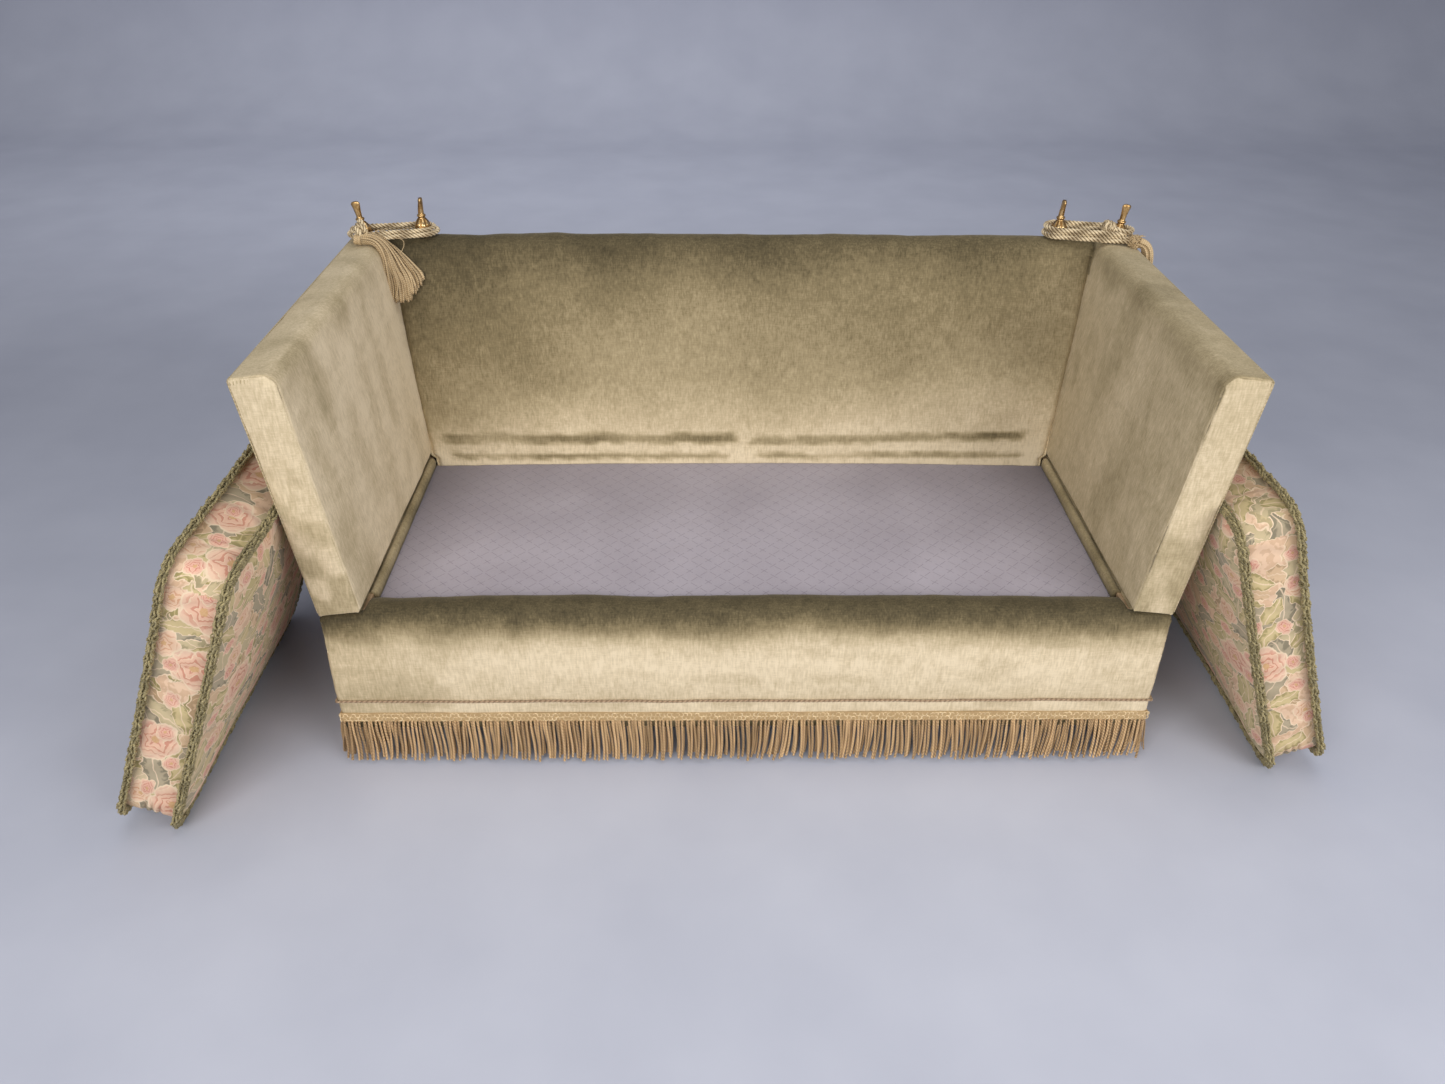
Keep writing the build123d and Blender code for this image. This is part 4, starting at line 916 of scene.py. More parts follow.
def border_and_roll():
    """The front border, turning up over the edge roll between the arms."""
    def section(ends):
        """Near, top, far and low lines, with or without the roll."""
        front = arc_points((-0.007, cord_height), (-0.009, 0.2457), (-0.0035, 0.3354), 16)
        near = [(-0.007, hem_height)] + front
        if ends:
            near += [(-0.0005, 0.3500), (0.0005, 0.3550)]
            top = [near[-1], (0.003, 0.3600), (0.008, border_top), (0.020, border_top)]
            far = [(0.020, hem_height), (0.020, border_top)]
        else:
            near += [(0.0010, 0.3520), (0.0055, 0.3640)]
            top = [near[-1]] + arc_points((0.0120, 0.3712), (0.0290, 0.3765), (0.0757, 0.3455), 12)[1:]
            far = [(0.020, hem_height), (0.020, 0.3342), (0.0757, 0.3370), top[-1]]
        low = [near[0], far[0]]
        return [curve_through(line) for line in (low, top, near, far)]

    us = np.concatenate([
        -np.linspace(0.8200, 0.7420, 16), -np.linspace(0.7390, 0.7300, 4)[:-1],
        np.linspace(-0.730, 0.730, 164), np.linspace(0.7300, 0.7390, 4)[1:], np.linspace(0.7420, 0.8200, 16),
    ])
    vs = spaced(0, 1, 0.07, (0.02,))
    ws = spaced(0, 1, 0.026, (0.006,))
    shares, faces = box_shell(us, vs, ws)
    x = shares[:, 0]
    blend = soft_step(np.abs(x), 0.730, 0.742)[:, None]
    middle = coons(shares[:, 1], shares[:, 2], *section(False))
    ends = coons(shares[:, 1], shares[:, 2], *section(True))
    flat = middle * (1 - blend) + ends * blend
    y, z = flat.T
    roll = (1 - blend[:, 0]) * soft_step(z, 0.335, 0.372)
    crown = 1 - (np.abs(x) / 0.736).clip(0, 1) ** 2
    z = z + roll * (crown * 0.007 - 0.004 + 0.0012 * lumps(np.stack([x, y, z], axis=1), 0.3, 70))
    side_turn = soft_step(np.abs(x), 0.8140, 0.8200)
    y = y + side_turn * 0.003 * (y < 0)
    # room for the arm's outer corner, which dips as the arm drops
    z = z - 0.0042 * soft_step(np.abs(x), 0.7990, 0.8115) * soft_step(z, 0.350, 0.360)
    obj = new_piece("front_border", from_front(x, y, z), faces, velvet)
    relief(obj, [(0.22, 0.0011, 71), (0.06, 0.0005, 72)])
    points, _ = vertices_of(obj)
    x, z = points[:, 0], points[:, 2]
    # painted light and shade: the front face light, the top of the roll dark, the hem dark behind the braid
    # and fringe, and both ends darker, the left the most
    level = z + (0.006 * lumps(points, 0.34, 73) + 0.002 * lumps(points, 0.06, 74)) * soft_step(z, 0.12, 0.2)
    heights = [0.085, 0.106, 0.112, 0.15, 0.16, 0.25, 0.285, 0.310, 0.330, 0.350, 0.368]
    shades = [0.10, 0.20, 0.86, 0.95, 0.86, 0.96, 0.90, 0.72, 0.44, 0.22, 0.09]
    shade = np.interp(level, heights, shades)
    shade -= 0.16 * soft_step(-x + 0.1 * lumps(points, 0.15, 75), 0.45, 0.78) * (z > 0.1)
    shade -= 0.05 * soft_step(x + 0.1 * lumps(points, 0.2, 76), 0.55, 0.80) * (z > 0.16)
    shade -= 0.06 * soft_step(lumps(points, 0.06, 77, (3, 1, 1)), 0.4, 1.4) * (z > 0.2)
    # painted shade just under the cord
    shade_under_cord = soft_step(-z, -0.156, -0.148) * soft_step(z, 0.128, 0.146)
    shade -= 0.12 * shade_under_cord * soft_step(lumps(points, 0.2, 78), -0.2, 0.8)
    paint_tone_and_light(obj, shade)
    belongs(obj, "sofa_frame", "olive_velvet", "front_border_cover", "front_edge_roll")


def side_skin(name, side):
    """The side's cover, turned over the rail, and the stuffed lip beside the deck."""
    def shell(label, near, far, us, ws, flip):
        """A long shell between an outer and an inner line."""
        ends = [curve_through([near[k], far[k]]) for k in (0, -1)]
        shares, faces = box_shell(us, np.linspace(0, 1, 3), ws)
        flat = coons(shares[:, 1], shares[:, 2], *ends, curve_through(near), curve_through(far))
        points = from_front(side * flat[:, 0], shares[:, 0], flat[:, 1])
        return new_piece(name + label, points, turned_faces(faces, flip), velvet)

    bend = 0.022
    corner = [(half_width - bend * (1 - math.cos(t)), 0.341 + bend * math.sin(t))
              for t in np.linspace(0, math.pi / 2, 7)]
    outer = [(half_width, hem_height)] + corner + [(0.744, 0.3630)]
    wall = [(0.8155, hem_height)] + [(x - 0.0045, z - 0.0024) for x, z in corner] + [(0.744, 0.3606)]
    us = spaced(0.0205, sofa_depth - 0.005, 0.012, (0.003,))
    ws = np.concatenate([np.linspace(0, 0.68, 30), np.linspace(0.70, 0.80, 9), np.linspace(0.82, 1, 9)])
    obj = shell("_side_skin", outer, wall, us, ws, side < 0)
    points, _ = vertices_of(obj)
    height = points[:, 2]
    # painted shade: the cover darkens towards the top, where it turns over the rail
    shade = 0.66 + 0.1 * lumps(points, 0.3, 80 + side) - 0.12 * soft_step(height, 0.30, 0.36)
    shade -= 0.16 * soft_step(lumps(points, 0.12, 82 + side), 0.5, 1.1)
    paint_tone_and_light(obj, shade)
    belongs(obj, "sofa_frame", "olive_velvet", name + "_side_cover")

    bead = arc_points((0.7440, 0.3618), (0.7360, 0.3680), (0.7275, 0.3600), 10) + [(0.7272, 0.3465)]
    back_edge = [(0.7440, 0.3600), (0.7360, 0.3550), (0.7340, 0.3465)]
    us = spaced(deck_front + 0.001, sofa_depth - 0.176, 0.01, (0.003,))
    lip = shell("_deck_lip", bead, back_edge, us, np.linspace(0, 1, 14), side > 0)
    points, _ = vertices_of(lip)
    # painted shade: the lip darkens low down, in the crease beside the deck
    shade = 0.46 + 0.08 * lumps(points, 0.12, 84 + side) - 0.22 * soft_step(-points[:, 2], -0.358, -0.348)
    paint_tone_and_light(lip, shade)
    belongs(lip, "sofa_frame", "olive_velvet", name + "_side_cover")


def outside_back():
    """The flat velvet panel across the back."""
    us = spaced(-1, 1, 0.02, (0.004,))
    vs = np.linspace(0, 1, 3)
    ws = np.concatenate([np.linspace(0, 0.36, 22), [0.3605], np.linspace(0.366, 1, 40)])
    shares, faces = box_shell(us, vs, ws)
    z = hem_height + shares[:, 2] * (0.842 - hem_height)
    reach = np.where(z < 0.3584, half_width, back_reach + back_lean * (z - rail_height))
    y = 0.7852 + shares[:, 1] * 0.0046
    obj = new_piece("outside_back", from_front(shares[:, 0] * reach, y, z), faces, velvet)
    points, _ = vertices_of(obj)
    rear = shares[:, 1] > 0.9
    sag = (1 - np.abs(shares[:, 0]) ** 4) * np.sin(np.clip((z - 0.1) / 0.73, 0, 1) * math.pi)
    points[:, 1] += rear * (0.0018 * lumps(points, 0.3, 90) - 0.002) * sag
    set_vertices(obj, points)
    # the tone is lighter towards the bottom and darker at the top
    shade = 0.62 + 0.05 * lumps(points, 0.35, 91) - 0.04 * soft_step(lumps(points, 0.25, 92), 0.3, 1.6)
    shade = shade + 0.2 * soft_step(-z, -0.4, -0.1) - 0.15 * soft_step(z, 0.78, 0.84)
    paint_tone_and_light(obj, shade)
    belongs(obj, "sofa_frame", "olive_velvet", "outer_back_panel")


def deck_cloth():
    """The lining stretched over the platform."""
    us = spaced(-1, 1, 0.014, (0.003, 0.008))
    vs = spaced(0, 1, 0.02, (0.004, 0.012))
    ws = np.array([0.0, 1.0])
    shares, faces = box_shell(us, vs, ws)
    x = shares[:, 0] * deck_reach
    y = deck_front + shares[:, 1] * (deck_rear - deck_front)
    dome = 1 - shares[:, 0] ** 2
    underside = 0.3472
    z = underside + shares[:, 2] * (deck_height - underside + dome * deck_crown * 0.93)
    edge = np.minimum(1 - np.abs(shares[:, 0]), 0.9 * np.minimum(shares[:, 1], 1 - shares[:, 1]))
    top = shares[:, 2] > 0.5
    z -= top * 0.0012 * soft_step(-edge, -0.012, 0)
    points = from_front(x, y, z)
    points[:, 2] += top * (0.0007 * lumps(points, 0.25, 95) + 0.0003 * lumps(points, 0.06, 96)) - top * 0.0006
    obj = new_piece("deck_cloth", points, faces, platform_lining())
    # painted shadow: the lining darkens towards the rear and towards the sides, under the back and the arms
    depth = shares[:, 1]
    shade = 1.0 - 0.50 * soft_step(depth, 0.25, 1.0) * (0.35 + 0.65 * np.abs(shares[:, 0]) ** 1.5)
    shade -= 0.30 * soft_step(np.abs(shares[:, 0]), 0.72, 1.0) + 0.05 * lumps(points, 0.3, 97)
    paint_tone_and_light(obj, shade, 0)
    belongs(obj, "sofa_frame", "platform_lining", "platform_cloth")


for name, side in sides.items():
    arm_pad(name, side)
    arm_seams(name, side)
    side_skin(name, side)
back_pad()
border_and_roll()
outside_back()
deck_cloth()


# Tie ropes, knots and tassels

rope_yarn = yarn("cream_rope", (0.17, 0.11, 0.05), (0.80, 0.65, 0.42), 55, plies=3)
tassel_yarn = yarn("gold_tassel", (0.24, 0.155, 0.07), (0.72, 0.54, 0.31), 110, plies=2)
rope_radius = 0.0055
arm_post_x = 0.836
arm_post_y = 0.725
back_post_x = 0.712
back_post_y = 0.752


def wound_route(side, turns):
    """Control points of a rope wound round the arm's and the back's finials, as loosely as it lies."""
    a = np.array([side * arm_post_x, arm_post_y])
    b = np.array([side * back_post_x, back_post_y])
    along = (b - a) / np.linalg.norm(b - a)
    out = np.array([along[1], -along[0]])
    if out[1] > 0:
        out = -out
    route = []
    middle = a * 0.5 + b * 0.5
    bend = [out * math.cos(t) + along * math.sin(t) for t in np.radians((28, 62, 90, 118, 152))]
    for radius, low, high in turns:
        wide = radius * 1.045
        ring = [a + out * radius, middle + out * (radius - 0.002), b + out * radius]
        ring += [b + way * wide for way in bend]
        ring += [b - out * radius, middle - out * (radius - 0.004), a - out * radius]
        ring += [a - way * wide for way in bend]
        for i, (x, y) in enumerate(ring):
            route.append((x, y, low + (high - low) * i / len(ring)))
    return route


def rope_along(line, radius):
    """A rope of three round plies laid together along a line."""
    plies, count, lay_length = 3, 24, 0.027
    ply_radius = radius / (1 + 2 / math.sqrt(3)) * 1.06
    offset = radius - ply_radius
    angles = 2 * math.pi * np.arange(count) / count
    near = (angles + math.pi / plies) % (2 * math.pi / plies) - math.pi / plies
    half_chord = np.sqrt(np.maximum(ply_radius ** 2 - (offset * np.sin(near)) ** 2, 1e-9))
    profile = offset * np.cos(near) + half_chord
    return tube(evenly(line, 0.0014), 1.0, profile=profile, turns_per_metre=1 / lay_length)


def tie_rope(name, side, start, turns, finish_points, length):
    route = [start] + wound_route(side, turns) + finish_points
    route = [(x, y + front_plane, z) for x, y, z in route]
    line = smooth_line(route)
    rope = tubes_piece(name + "_rope", [rope_along(line, rope_radius)], rope_yarn)
    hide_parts(name + "_tie_rope")
    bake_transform(rope)
    return rope, evenly(line, 0.004), length


ropes = {
    "left": tie_rope(
        "left", -1, (-0.845, 0.7005, 0.8698), [(0.0305, 0.8695, 0.8750), (0.0235, 0.8770, 0.8840)],
        [(-0.8480, 0.7000, 0.8928), (-0.8420, 0.6970, 0.8938)], 0.83,
    ),
    "right": tie_rope(
        "right", 1, (0.859, 0.6958, 0.8695),
        [(0.0310, 0.8695, 0.8750), (0.0235, 0.8765, 0.8820), (0.0290, 0.8850, 0.8890)],
        [(0.8140, 0.7130, 0.8960), (0.8145, 0.7180, 0.8990)], 1.30,
    ),
}


# Finials

brass = gilt_brass()


def finial(name, body, place):
    """A cast finial: two rows of leaves on a bulb, a collar and a flat, flared tip."""
    profile = np.array([
        (0.0, 0.0), (0.0, 16.0), (1.0, 17.0), (2.6, 17.0), (3.4, 14.6), (5.0, 14.4), (8.0, 15.6),
        (14.0, 16.6), (20.0, 16.6), (27.0, 15.2), (33.0, 12.4), (38.0, 9.2), (41.0, 7.4), (42.5, 7.6),
        (43.5, 9.4), (45.5, 9.8), (47.0, 8.8), (48.5, 6.6), (52.0, 6.0), (58.0, 6.2), (66.0, 7.0),
        (74.0, 8.2), (79.0, 9.0), (82.0, 8.8), (83.6, 7.0), (84.0, 0.0),
    ]) / 1000
    at = distance_along(profile)
    share = np.linspace(0, at[-1], 84)
    height = np.interp(share, at, profile[:, 0])
    reach = np.interp(share, at, profile[:, 1])
    count = 48
    turn = 2 * math.pi * np.arange(count) / count
    z, angle = np.meshgrid(height, turn, indexing="ij")
    r = np.repeat(reach[:, None], count, axis=1)
    raised = np.zeros_like(z)
    for low, high, shift in ((0.0045, 0.022, 0.0), (0.019, 0.040, math.pi / 8)):
        rise = np.clip((z - low) / (high - low), 0, 1)
        lobe = np.abs(np.cos(4 * (angle + shift)))
        leaf = np.sin(rise * math.pi) ** 0.6 * soft_step(lobe, 0.15, 0.75)
        raised = np.maximum(raised, leaf * soft_step(lobe - rise * 0.75, 0.0, 0.2))
    ribs = soft_step(z, 0.049, 0.054) * (0.5 + 0.5 * np.cos(6 * angle)) * soft_step(-z, -0.083, -0.078)
    r = r + 0.0013 * raised * soft_step(r, 0.006, 0.009) + 0.0005 * ribs
    tip = soft_step(z, 0.050, 0.082)
    x = r * np.cos(angle) * (1 + 0.06 * tip)
    y = r * np.sin(angle) * (1 - 0.52 * tip) - 0.0022 * tip
    z = z - tip * 0.0016 * (x / 0.009) ** 2 * soft_step(z, 0.076, 0.083)
    points = np.stack([x, y, z], axis=2).reshape(-1, 3)
    stem = tube(np.array([(0, 0, -0.041), (0, 0, -0.02), (0, 0, 0.0006)]), 0.0029, count=16)
    obj = new_piece(name + "_casting", place(points), ring_faces(len(share), count), brass)
    point_values(obj, "raised", np.maximum(raised, 0.55 * (raised < 0.01) * (z > 0.04)).ravel())
    weld = obj.modifiers.new("weld", "WELD")
    weld.merge_threshold = 0.00001
    settle(obj)
    shank = new_piece(name + "_shank", place(stem[0]), stem[1], brass)
    joined_pieces(name + "_casting", [obj, shank])
    belongs(obj, body, "finial_brass", name + "_finial")


def upright(side):
    """Where a back finial stands."""
    def place(points):
        x, y, z = points.T
        return from_front(side * back_post_x - y, back_post_y + x, back_top + z)
    return place


def leaning(side):
    """Where an arm's finial stands."""
    def place(points):
        x, y, z = points.T
        return arm_to_world(np.stack([-0.036 + side * x, arm_post_y + y, arm_top_z + z], axis=1), side)
    return place


# Growing rules, for what repeats along a path

def rule(name, sizes):
    """An empty rule with named inputs, and each input's own identifier."""
    tree = bpy.data.node_groups.new(name, "GeometryNodeTree")
    tree.interface.new_socket("Path", in_out="INPUT", socket_type="NodeSocketGeometry")
    places = {}
    for label, kind in sizes:
        socket = tree.interface.new_socket(label, in_out="INPUT", socket_type="NodeSocket" + kind)
        places[label] = socket.identifier
    tree.interface.new_socket("Grown", in_out="OUTPUT", socket_type="NodeSocketGeometry")
    return tree, tree.nodes.new("NodeGroupInput").outputs, places


def chance(tree, low, high, seed, shift):
    """A random number for each point."""
    made = node(tree, "FunctionNodeRandomValue", data_type="FLOAT")
    feed(tree, made.inputs[2], low)
    feed(tree, made.inputs[3], high)
    feed(tree, made.inputs[8], Signal(tree, seed) + shift)
    return Signal(tree, made.outputs[1])


def vector(tree, x, y, z):
    made = node(tree, "ShaderNodeCombineXYZ")
    for place, value in zip(made.inputs, (x, y, z)):
        feed(tree, place, value)
    return made.outputs[0]


def stored(tree, shape, label, value, kind="FLOAT", domain="POINT"):
    made = node(tree, "GeometryNodeStoreNamedAttribute", data_type=kind, domain=domain)
    feed(tree, made.inputs["Geometry"], shape)
    made.inputs["Name"].default_value = label
    feed(tree, made.inputs["Value"], value)
    return made.outputs[0]


def twisted_strand(tree, spine, radius, count):
    """A tube along a spine that keeps its lay for the yarn's finish."""
    run = node(tree, "GeometryNodeSplineParameter").outputs["Length"]
    spine = stored(tree, spine, "run", run)
    ring = node(tree, "GeometryNodeCurvePrimitiveCircle", {"Resolution": count, "Radius": radius})
    angle = Signal(tree, node(tree, "GeometryNodeInputIndex").outputs[0]) * (2 * math.pi / count)
    face = vector(tree, angle.math("COSINE"), angle.math("SINE"), 0.0)
    ring = stored(tree, ring.outputs[0], "face", face, "FLOAT_VECTOR")
    inputs = {"Curve": spine, "Profile Curve": ring, "Fill Caps": True}
    skin = node(tree, "GeometryNodeCurveToMesh", inputs).outputs[0]
    kept_run = node(tree, "GeometryNodeInputNamedAttribute", {"Name": "run"}, data_type="FLOAT")
    kept_face = node(tree, "GeometryNodeInputNamedAttribute", {"Name": "face"}, data_type="FLOAT_VECTOR")
    lay = vector(tree, *parts_of(tree, kept_face.outputs[0], 2), kept_run.outputs[0])
    return stored(tree, skin, "lay", lay, "FLOAT_VECTOR")


def steps_along(tree, line, pitch):
    return node(tree, "GeometryNodeCurveToPoints", {"Curve": line, "Length": pitch}, mode="LENGTH").outputs


def scaled(tree, way, size):
    return node(tree, "ShaderNodeVectorMath", {0: way, "Scale": size}, operation="SCALE").outputs[0]


def set_out(tree, given, steps, shift, strand, turned, size):
    """Ends a rule: a strand at each step, with a tone of its own and the yarn's finish."""
    moved = node(tree, "GeometryNodeSetPosition", {"Geometry": steps["Points"], "Offset": shift}).outputs[0]
    grown = node(tree, "GeometryNodeInstanceOnPoints", {
        "Points": moved, "Instance": strand, "Rotation": turned, "Scale": size,
    }).outputs[0]
    grown = stored(tree, grown, "tone", chance(tree, 0.0, 1.0, given["Seed"], 7), "FLOAT", "INSTANCE")
    real = node(tree, "GeometryNodeRealizeInstances", {"Geometry": grown}).outputs[0]
    smooth = node(tree, "GeometryNodeSetShadeSmooth", {"Geometry": real}).outputs[0]
    painted = node(tree, "GeometryNodeSetMaterial", {"Geometry": smooth, "Material": given["Finish"]})
    end = tree.nodes.new("NodeGroupOutput")
    tree.links.new(painted.outputs[0], end.inputs[0])


def hanging_strands_rule():
    """Bullion: one bent, twisted strand at each step of a path, swaying by chance."""
    tree, given, places = rule("hanging_strands", [
        ("Strand Length", "Float"), ("Strand Radius", "Float"), ("Pitch", "Float"), ("Sway", "Float"),
        ("Flare", "Float"), ("Facing", "Float"), ("Seed", "Int"), ("Finish", "Material"),
    ])
    seed = given["Seed"]
    length = Signal(tree, given["Strand Length"])
    spine = node(tree, "GeometryNodeCurvePrimitiveBezierSegment", {
        "Resolution": 7,
        "Start": (0, 0, 0),
        "Start Handle": vector(tree, 0.0, length * -0.10, length * -0.30),
        "End Handle": vector(tree, length * 0.04, length * 0.03, length * -0.62),
        "End": vector(tree, length * -0.01, 0.0, length * -1),
    }).outputs[0]
    strand = twisted_strand(tree, spine, given["Strand Radius"], 6)
    line = node(tree, "GeometryNodeMeshToCurve", {"Mesh": given["Path"]}).outputs[0]
    steps = steps_along(tree, line, given["Pitch"])
    shift = scaled(tree, steps["Tangent"], chance(tree, -0.28, 0.28, seed, 5) * Signal(tree, given["Pitch"]))
    place = node(tree, "GeometryNodeInputPosition").outputs[0]
    drift = node(tree, "ShaderNodeTexNoise", {"Vector": place, "Scale": 9.0, "Detail": 2.0})
    sway = Signal(tree, given["Sway"])
    lean = sway * chance(tree, -0.55, 0.55, seed, 1) + sway * (Signal(tree, drift.outputs[0]) - 0.5) * 5
    out = Signal(tree, given["Flare"]) * chance(tree, 0.55, 1.15, seed, 2) * -1
    turned = vector(tree, out, lean, given["Facing"])
    size = vector(tree, *(
        chance(tree, low, high, seed, k) for low, high, k in ((0.9, 1.1, 3), (-0.7, 1.5, 6), (0.93, 1.03, 4))
    ))
    set_out(tree, given, steps, shift, strand, turned, size)
    return tree, places


def loops_rule():
    """Looped trim: a ring of yarn at each step of a path, tipped by chance."""
    tree, given, places = rule("yarn_loops", [
        ("Loop Radius", "Float"), ("Yarn Radius", "Float"), ("Pitch", "Float"), ("Offset", "Float"),
        ("Rise", "Float"), ("Turn", "Vector"), ("Tip", "Float"), ("Stretch", "Float"), ("Seed", "Int"),
        ("Finish", "Material"),
    ])
    seed = given["Seed"]
    ring = node(tree, "GeometryNodeCurvePrimitiveCircle", {"Resolution": 7, "Radius": given["Loop Radius"]})
    loop = twisted_strand(tree, ring.outputs[0], given["Yarn Radius"], 4)
    line = node(tree, "GeometryNodeMeshToCurve", {"Mesh": given["Path"]}).outputs[0]
    line = node(tree, "GeometryNodeSetCurveNormal", {"Curve": line}, mode="Z_UP").outputs[0]
    steps = steps_along(tree, line, given["Pitch"])
    aside = scaled(tree, steps["Normal"], given["Offset"])
    shift = vector_math(tree, "ADD", aside, vector(tree, 0.0, 0.0, given["Rise"]))
    tip = Signal(tree, given["Tip"])
    loose = vector(tree, *(tip * chance(tree, -1.0, 1.0, seed, i) for i in (1, 2, 3)))
    turned = steps["Rotation"]
    for turn in (given["Turn"], loose):
        inputs = {"Rotation": turned, "Rotate By": turn}
        turned = node(tree, "FunctionNodeRotateRotation", inputs, rotation_space="LOCAL").outputs[0]
    wide = chance(tree, 0.85, 1.15, seed, 4)
    size = vector(tree, wide, wide * Signal(tree, given["Stretch"]), wide)
    set_out(tree, given, steps, shift, loop, turned, size)
    return tree, places


def grow(name, made_rule, paths, values, closed=False):
    """Runs a rule along paths and keeps the plain mesh it makes."""
    tree, places = made_rule
    mesh = bpy.data.meshes.new(name + "_path")
    points, edges = [], []
    for path in paths:
        start = len(points)
        points.extend([tuple(map(float, p)) for p in path])
        edges.extend([(start + i, start + i + 1) for i in range(len(path) - 1)])
        if closed:
            edges.append((len(points) - 1, start))
    mesh.from_pydata(points, edges, [])
    obj = in_scene(name, mesh)
    growth = obj.modifiers.new("growth", "NODES")
    growth.node_group = tree
    for label, value in values.items():
        growth[places[label]] = value
    settle(obj)
    bpy.data.meshes.remove(mesh)
    return obj


def joined_pieces(name, pieces):
    """One mesh of several, whose materials keep their places."""
    for piece in pieces:
        piece.select_set(True)
    bpy.context.view_layer.objects.active = pieces[0]
    with bpy.context.temp_override(
        active_object=pieces[0], selected_editable_objects=pieces, selected_objects=pieces
    ):
        bpy.ops.object.join()
    pieces[0].name = name
    pieces[0].data.name = name
    pieces[0].select_set(False)
    return pieces[0]


for name, side in sides.items():
    finial(name + "_back", "sofa_frame", upright(side))
    finial(name + "_arm", name + "_arm", leaning(side))


# Trims of the base

bullion = yarn("bullion_fringe", (0.125, 0.068, 0.027), (0.76, 0.50, 0.255), 70, roughness=0.5, plies=2)
braid_yarn = yarn("gold_braid", (0.50, 0.34, 0.16), (1.0, 0.80, 0.50), 300, roughness=0.45)
cord_yarn = yarn("rose_cord", (0.15, 0.088, 0.045), (0.47, 0.33, 0.21), 160, roughness=0.5)
strands = hanging_strands_rule()
loops = loops_rule()

trim_x, trim_front, trim_rear = 0.8215, -0.0085, 0.7915
fringe_top, fringe_reach, fringe_side = 0.1030, 0.818, 0.8212
fringe_front, fringe_rear = -0.004, 0.788
fringe_runs = {
    "front_fringe": ((-fringe_reach, trim_front), (fringe_reach, trim_front), 0.0),
    "right_side_fringe": ((fringe_side, fringe_front), (fringe_side, fringe_rear), math.pi / 2),
    "back_fringe": ((fringe_reach, trim_rear), (-fringe_reach, trim_rear), math.pi),
    "left_side_fringe": ((-fringe_side, fringe_rear), (-fringe_side, fringe_front), -math.pi / 2),
}


def fringe(name, start, end, facing):
    """Two layers of bullion strands on a stitched heading."""
    inward = np.array([-math.sin(facing), math.cos(facing)])
    layers = []
    sizes = ((0.0, 0.0945, 0.20, 0.0080), (0.0030, 0.0915, 0.08, 0.0084))
    for layer, (depth, length, flare, pitch) in enumerate(sizes):
        ends = [np.array(p) + inward * depth for p in (start, end)]
        path = [(p[0], p[1] + front_plane, fringe_top) for p in ends]
        layers.append(grow(name + "_layer%d" % layer, strands, [path], {
            "Strand Length": length, "Strand Radius": 0.0026, "Pitch": pitch, "Sway": 0.09,
            "Flare": flare, "Facing": facing, "Seed": 7 * layer + int(facing * 10) + 20, "Finish": bullion,
        }))
    obj = joined_pieces(name + "_bullion", layers)
    points, _ = vertices_of(obj)
    points[:, 2] = np.maximum(points[:, 2], 0.0022)
    set_vertices(obj, points)
    belongs(obj, "sofa_frame", "bullion_fringe", name)


def braid():
    """The woven heading above the fringe: a band with two staggered rows of small loops."""
    ring = [(-trim_x, trim_front), (trim_x, trim_front), (trim_x, trim_rear), (-trim_x, trim_rear)]
    rows = []
    for row, height in enumerate((0.1178, 0.1083)):
        paths = []
        for a, b in zip(ring, ring[1:] + ring[:1]):
            a, b = np.array(a), np.array(b)
            way = (b - a) / np.linalg.norm(b - a)
            a = a + way * (0.0015 + 0.0040 * row)
            paths.append([(a[0], a[1] + front_plane, height), (b[0], b[1] + front_plane, height)])
        rows.append(grow("braid_row%d" % row, loops, paths, {
            "Loop Radius": 0.0046, "Yarn Radius": 0.0012, "Pitch": 0.0080, "Offset": 0.0, "Rise": 0.0,
            "Turn": (0.0, math.radians(90), 0.0), "Tip": 0.22, "Stretch": 1.0, "Seed": row + 3,
            "Finish": braid_yarn,
        }))
    sets = [(x + out * np.sign(x), y + out * np.sign(y)) for out in (0.0008, -0.0012) for x, y in ring]
    band = [(x, y + front_plane, z) for x, y in sets for z in (0.1020, 0.1240)]
    faces = []
    for k in range(4):
        a, b = 2 * k, 2 * ((k + 1) % 4)
        c, d = a + 8, b + 8
        faces += [(a, b, b + 1, a + 1), (c, c + 1, d + 1, d), (a + 1, b + 1, d + 1, c + 1), (a, c, d, b)]
    ground = yarn("braid_ground", (0.30, 0.185, 0.075), (0.74, 0.52, 0.27), 300)
    rows.append(new_piece("braid_band", band, faces, ground, smooth=False))
    obj = joined_pieces("gold_braid", rows)
    belongs(obj, "sofa_frame", "gold_braid", "braid_heading")


def edge_cord():
    """The two-ply cord along the front and both sides."""
    half = [
        (-0.8233, 0.784), (-0.8233, 0.5), (-0.8233, 0.2), (-0.8233, 0.01), (-0.8233, -0.0066),
        (-0.8228, -0.0098), (-0.8196, -0.0103), (-0.80, -0.0103), (-0.4, -0.0106),
    ]
    route = half + [(0.0, -0.0108)] + [(-x, y) for x, y in reversed(half)]
    line = evenly(np.array([(x, y + front_plane, cord_height) for x, y in route]), 0.0016)
    line[:, 2] += 0.0006 * lumps(line, 0.12, 101)
    count = 10
    angles = 2 * math.pi * np.arange(count) / count
    profile = 0.0017 + 0.0013 * np.abs(np.cos(angles))
    cord = tubes_piece("edge_cord", [tube(line, 1.0, profile=profile, turns_per_metre=62)], cord_yarn)
    belongs(cord, "sofa_frame", "rose_cord", "twisted_cord")


for fringe_name, (start, end, facing) in fringe_runs.items():
    fringe(fringe_name, start, end, facing)
braid()
edge_cord()


# Tassels and knots

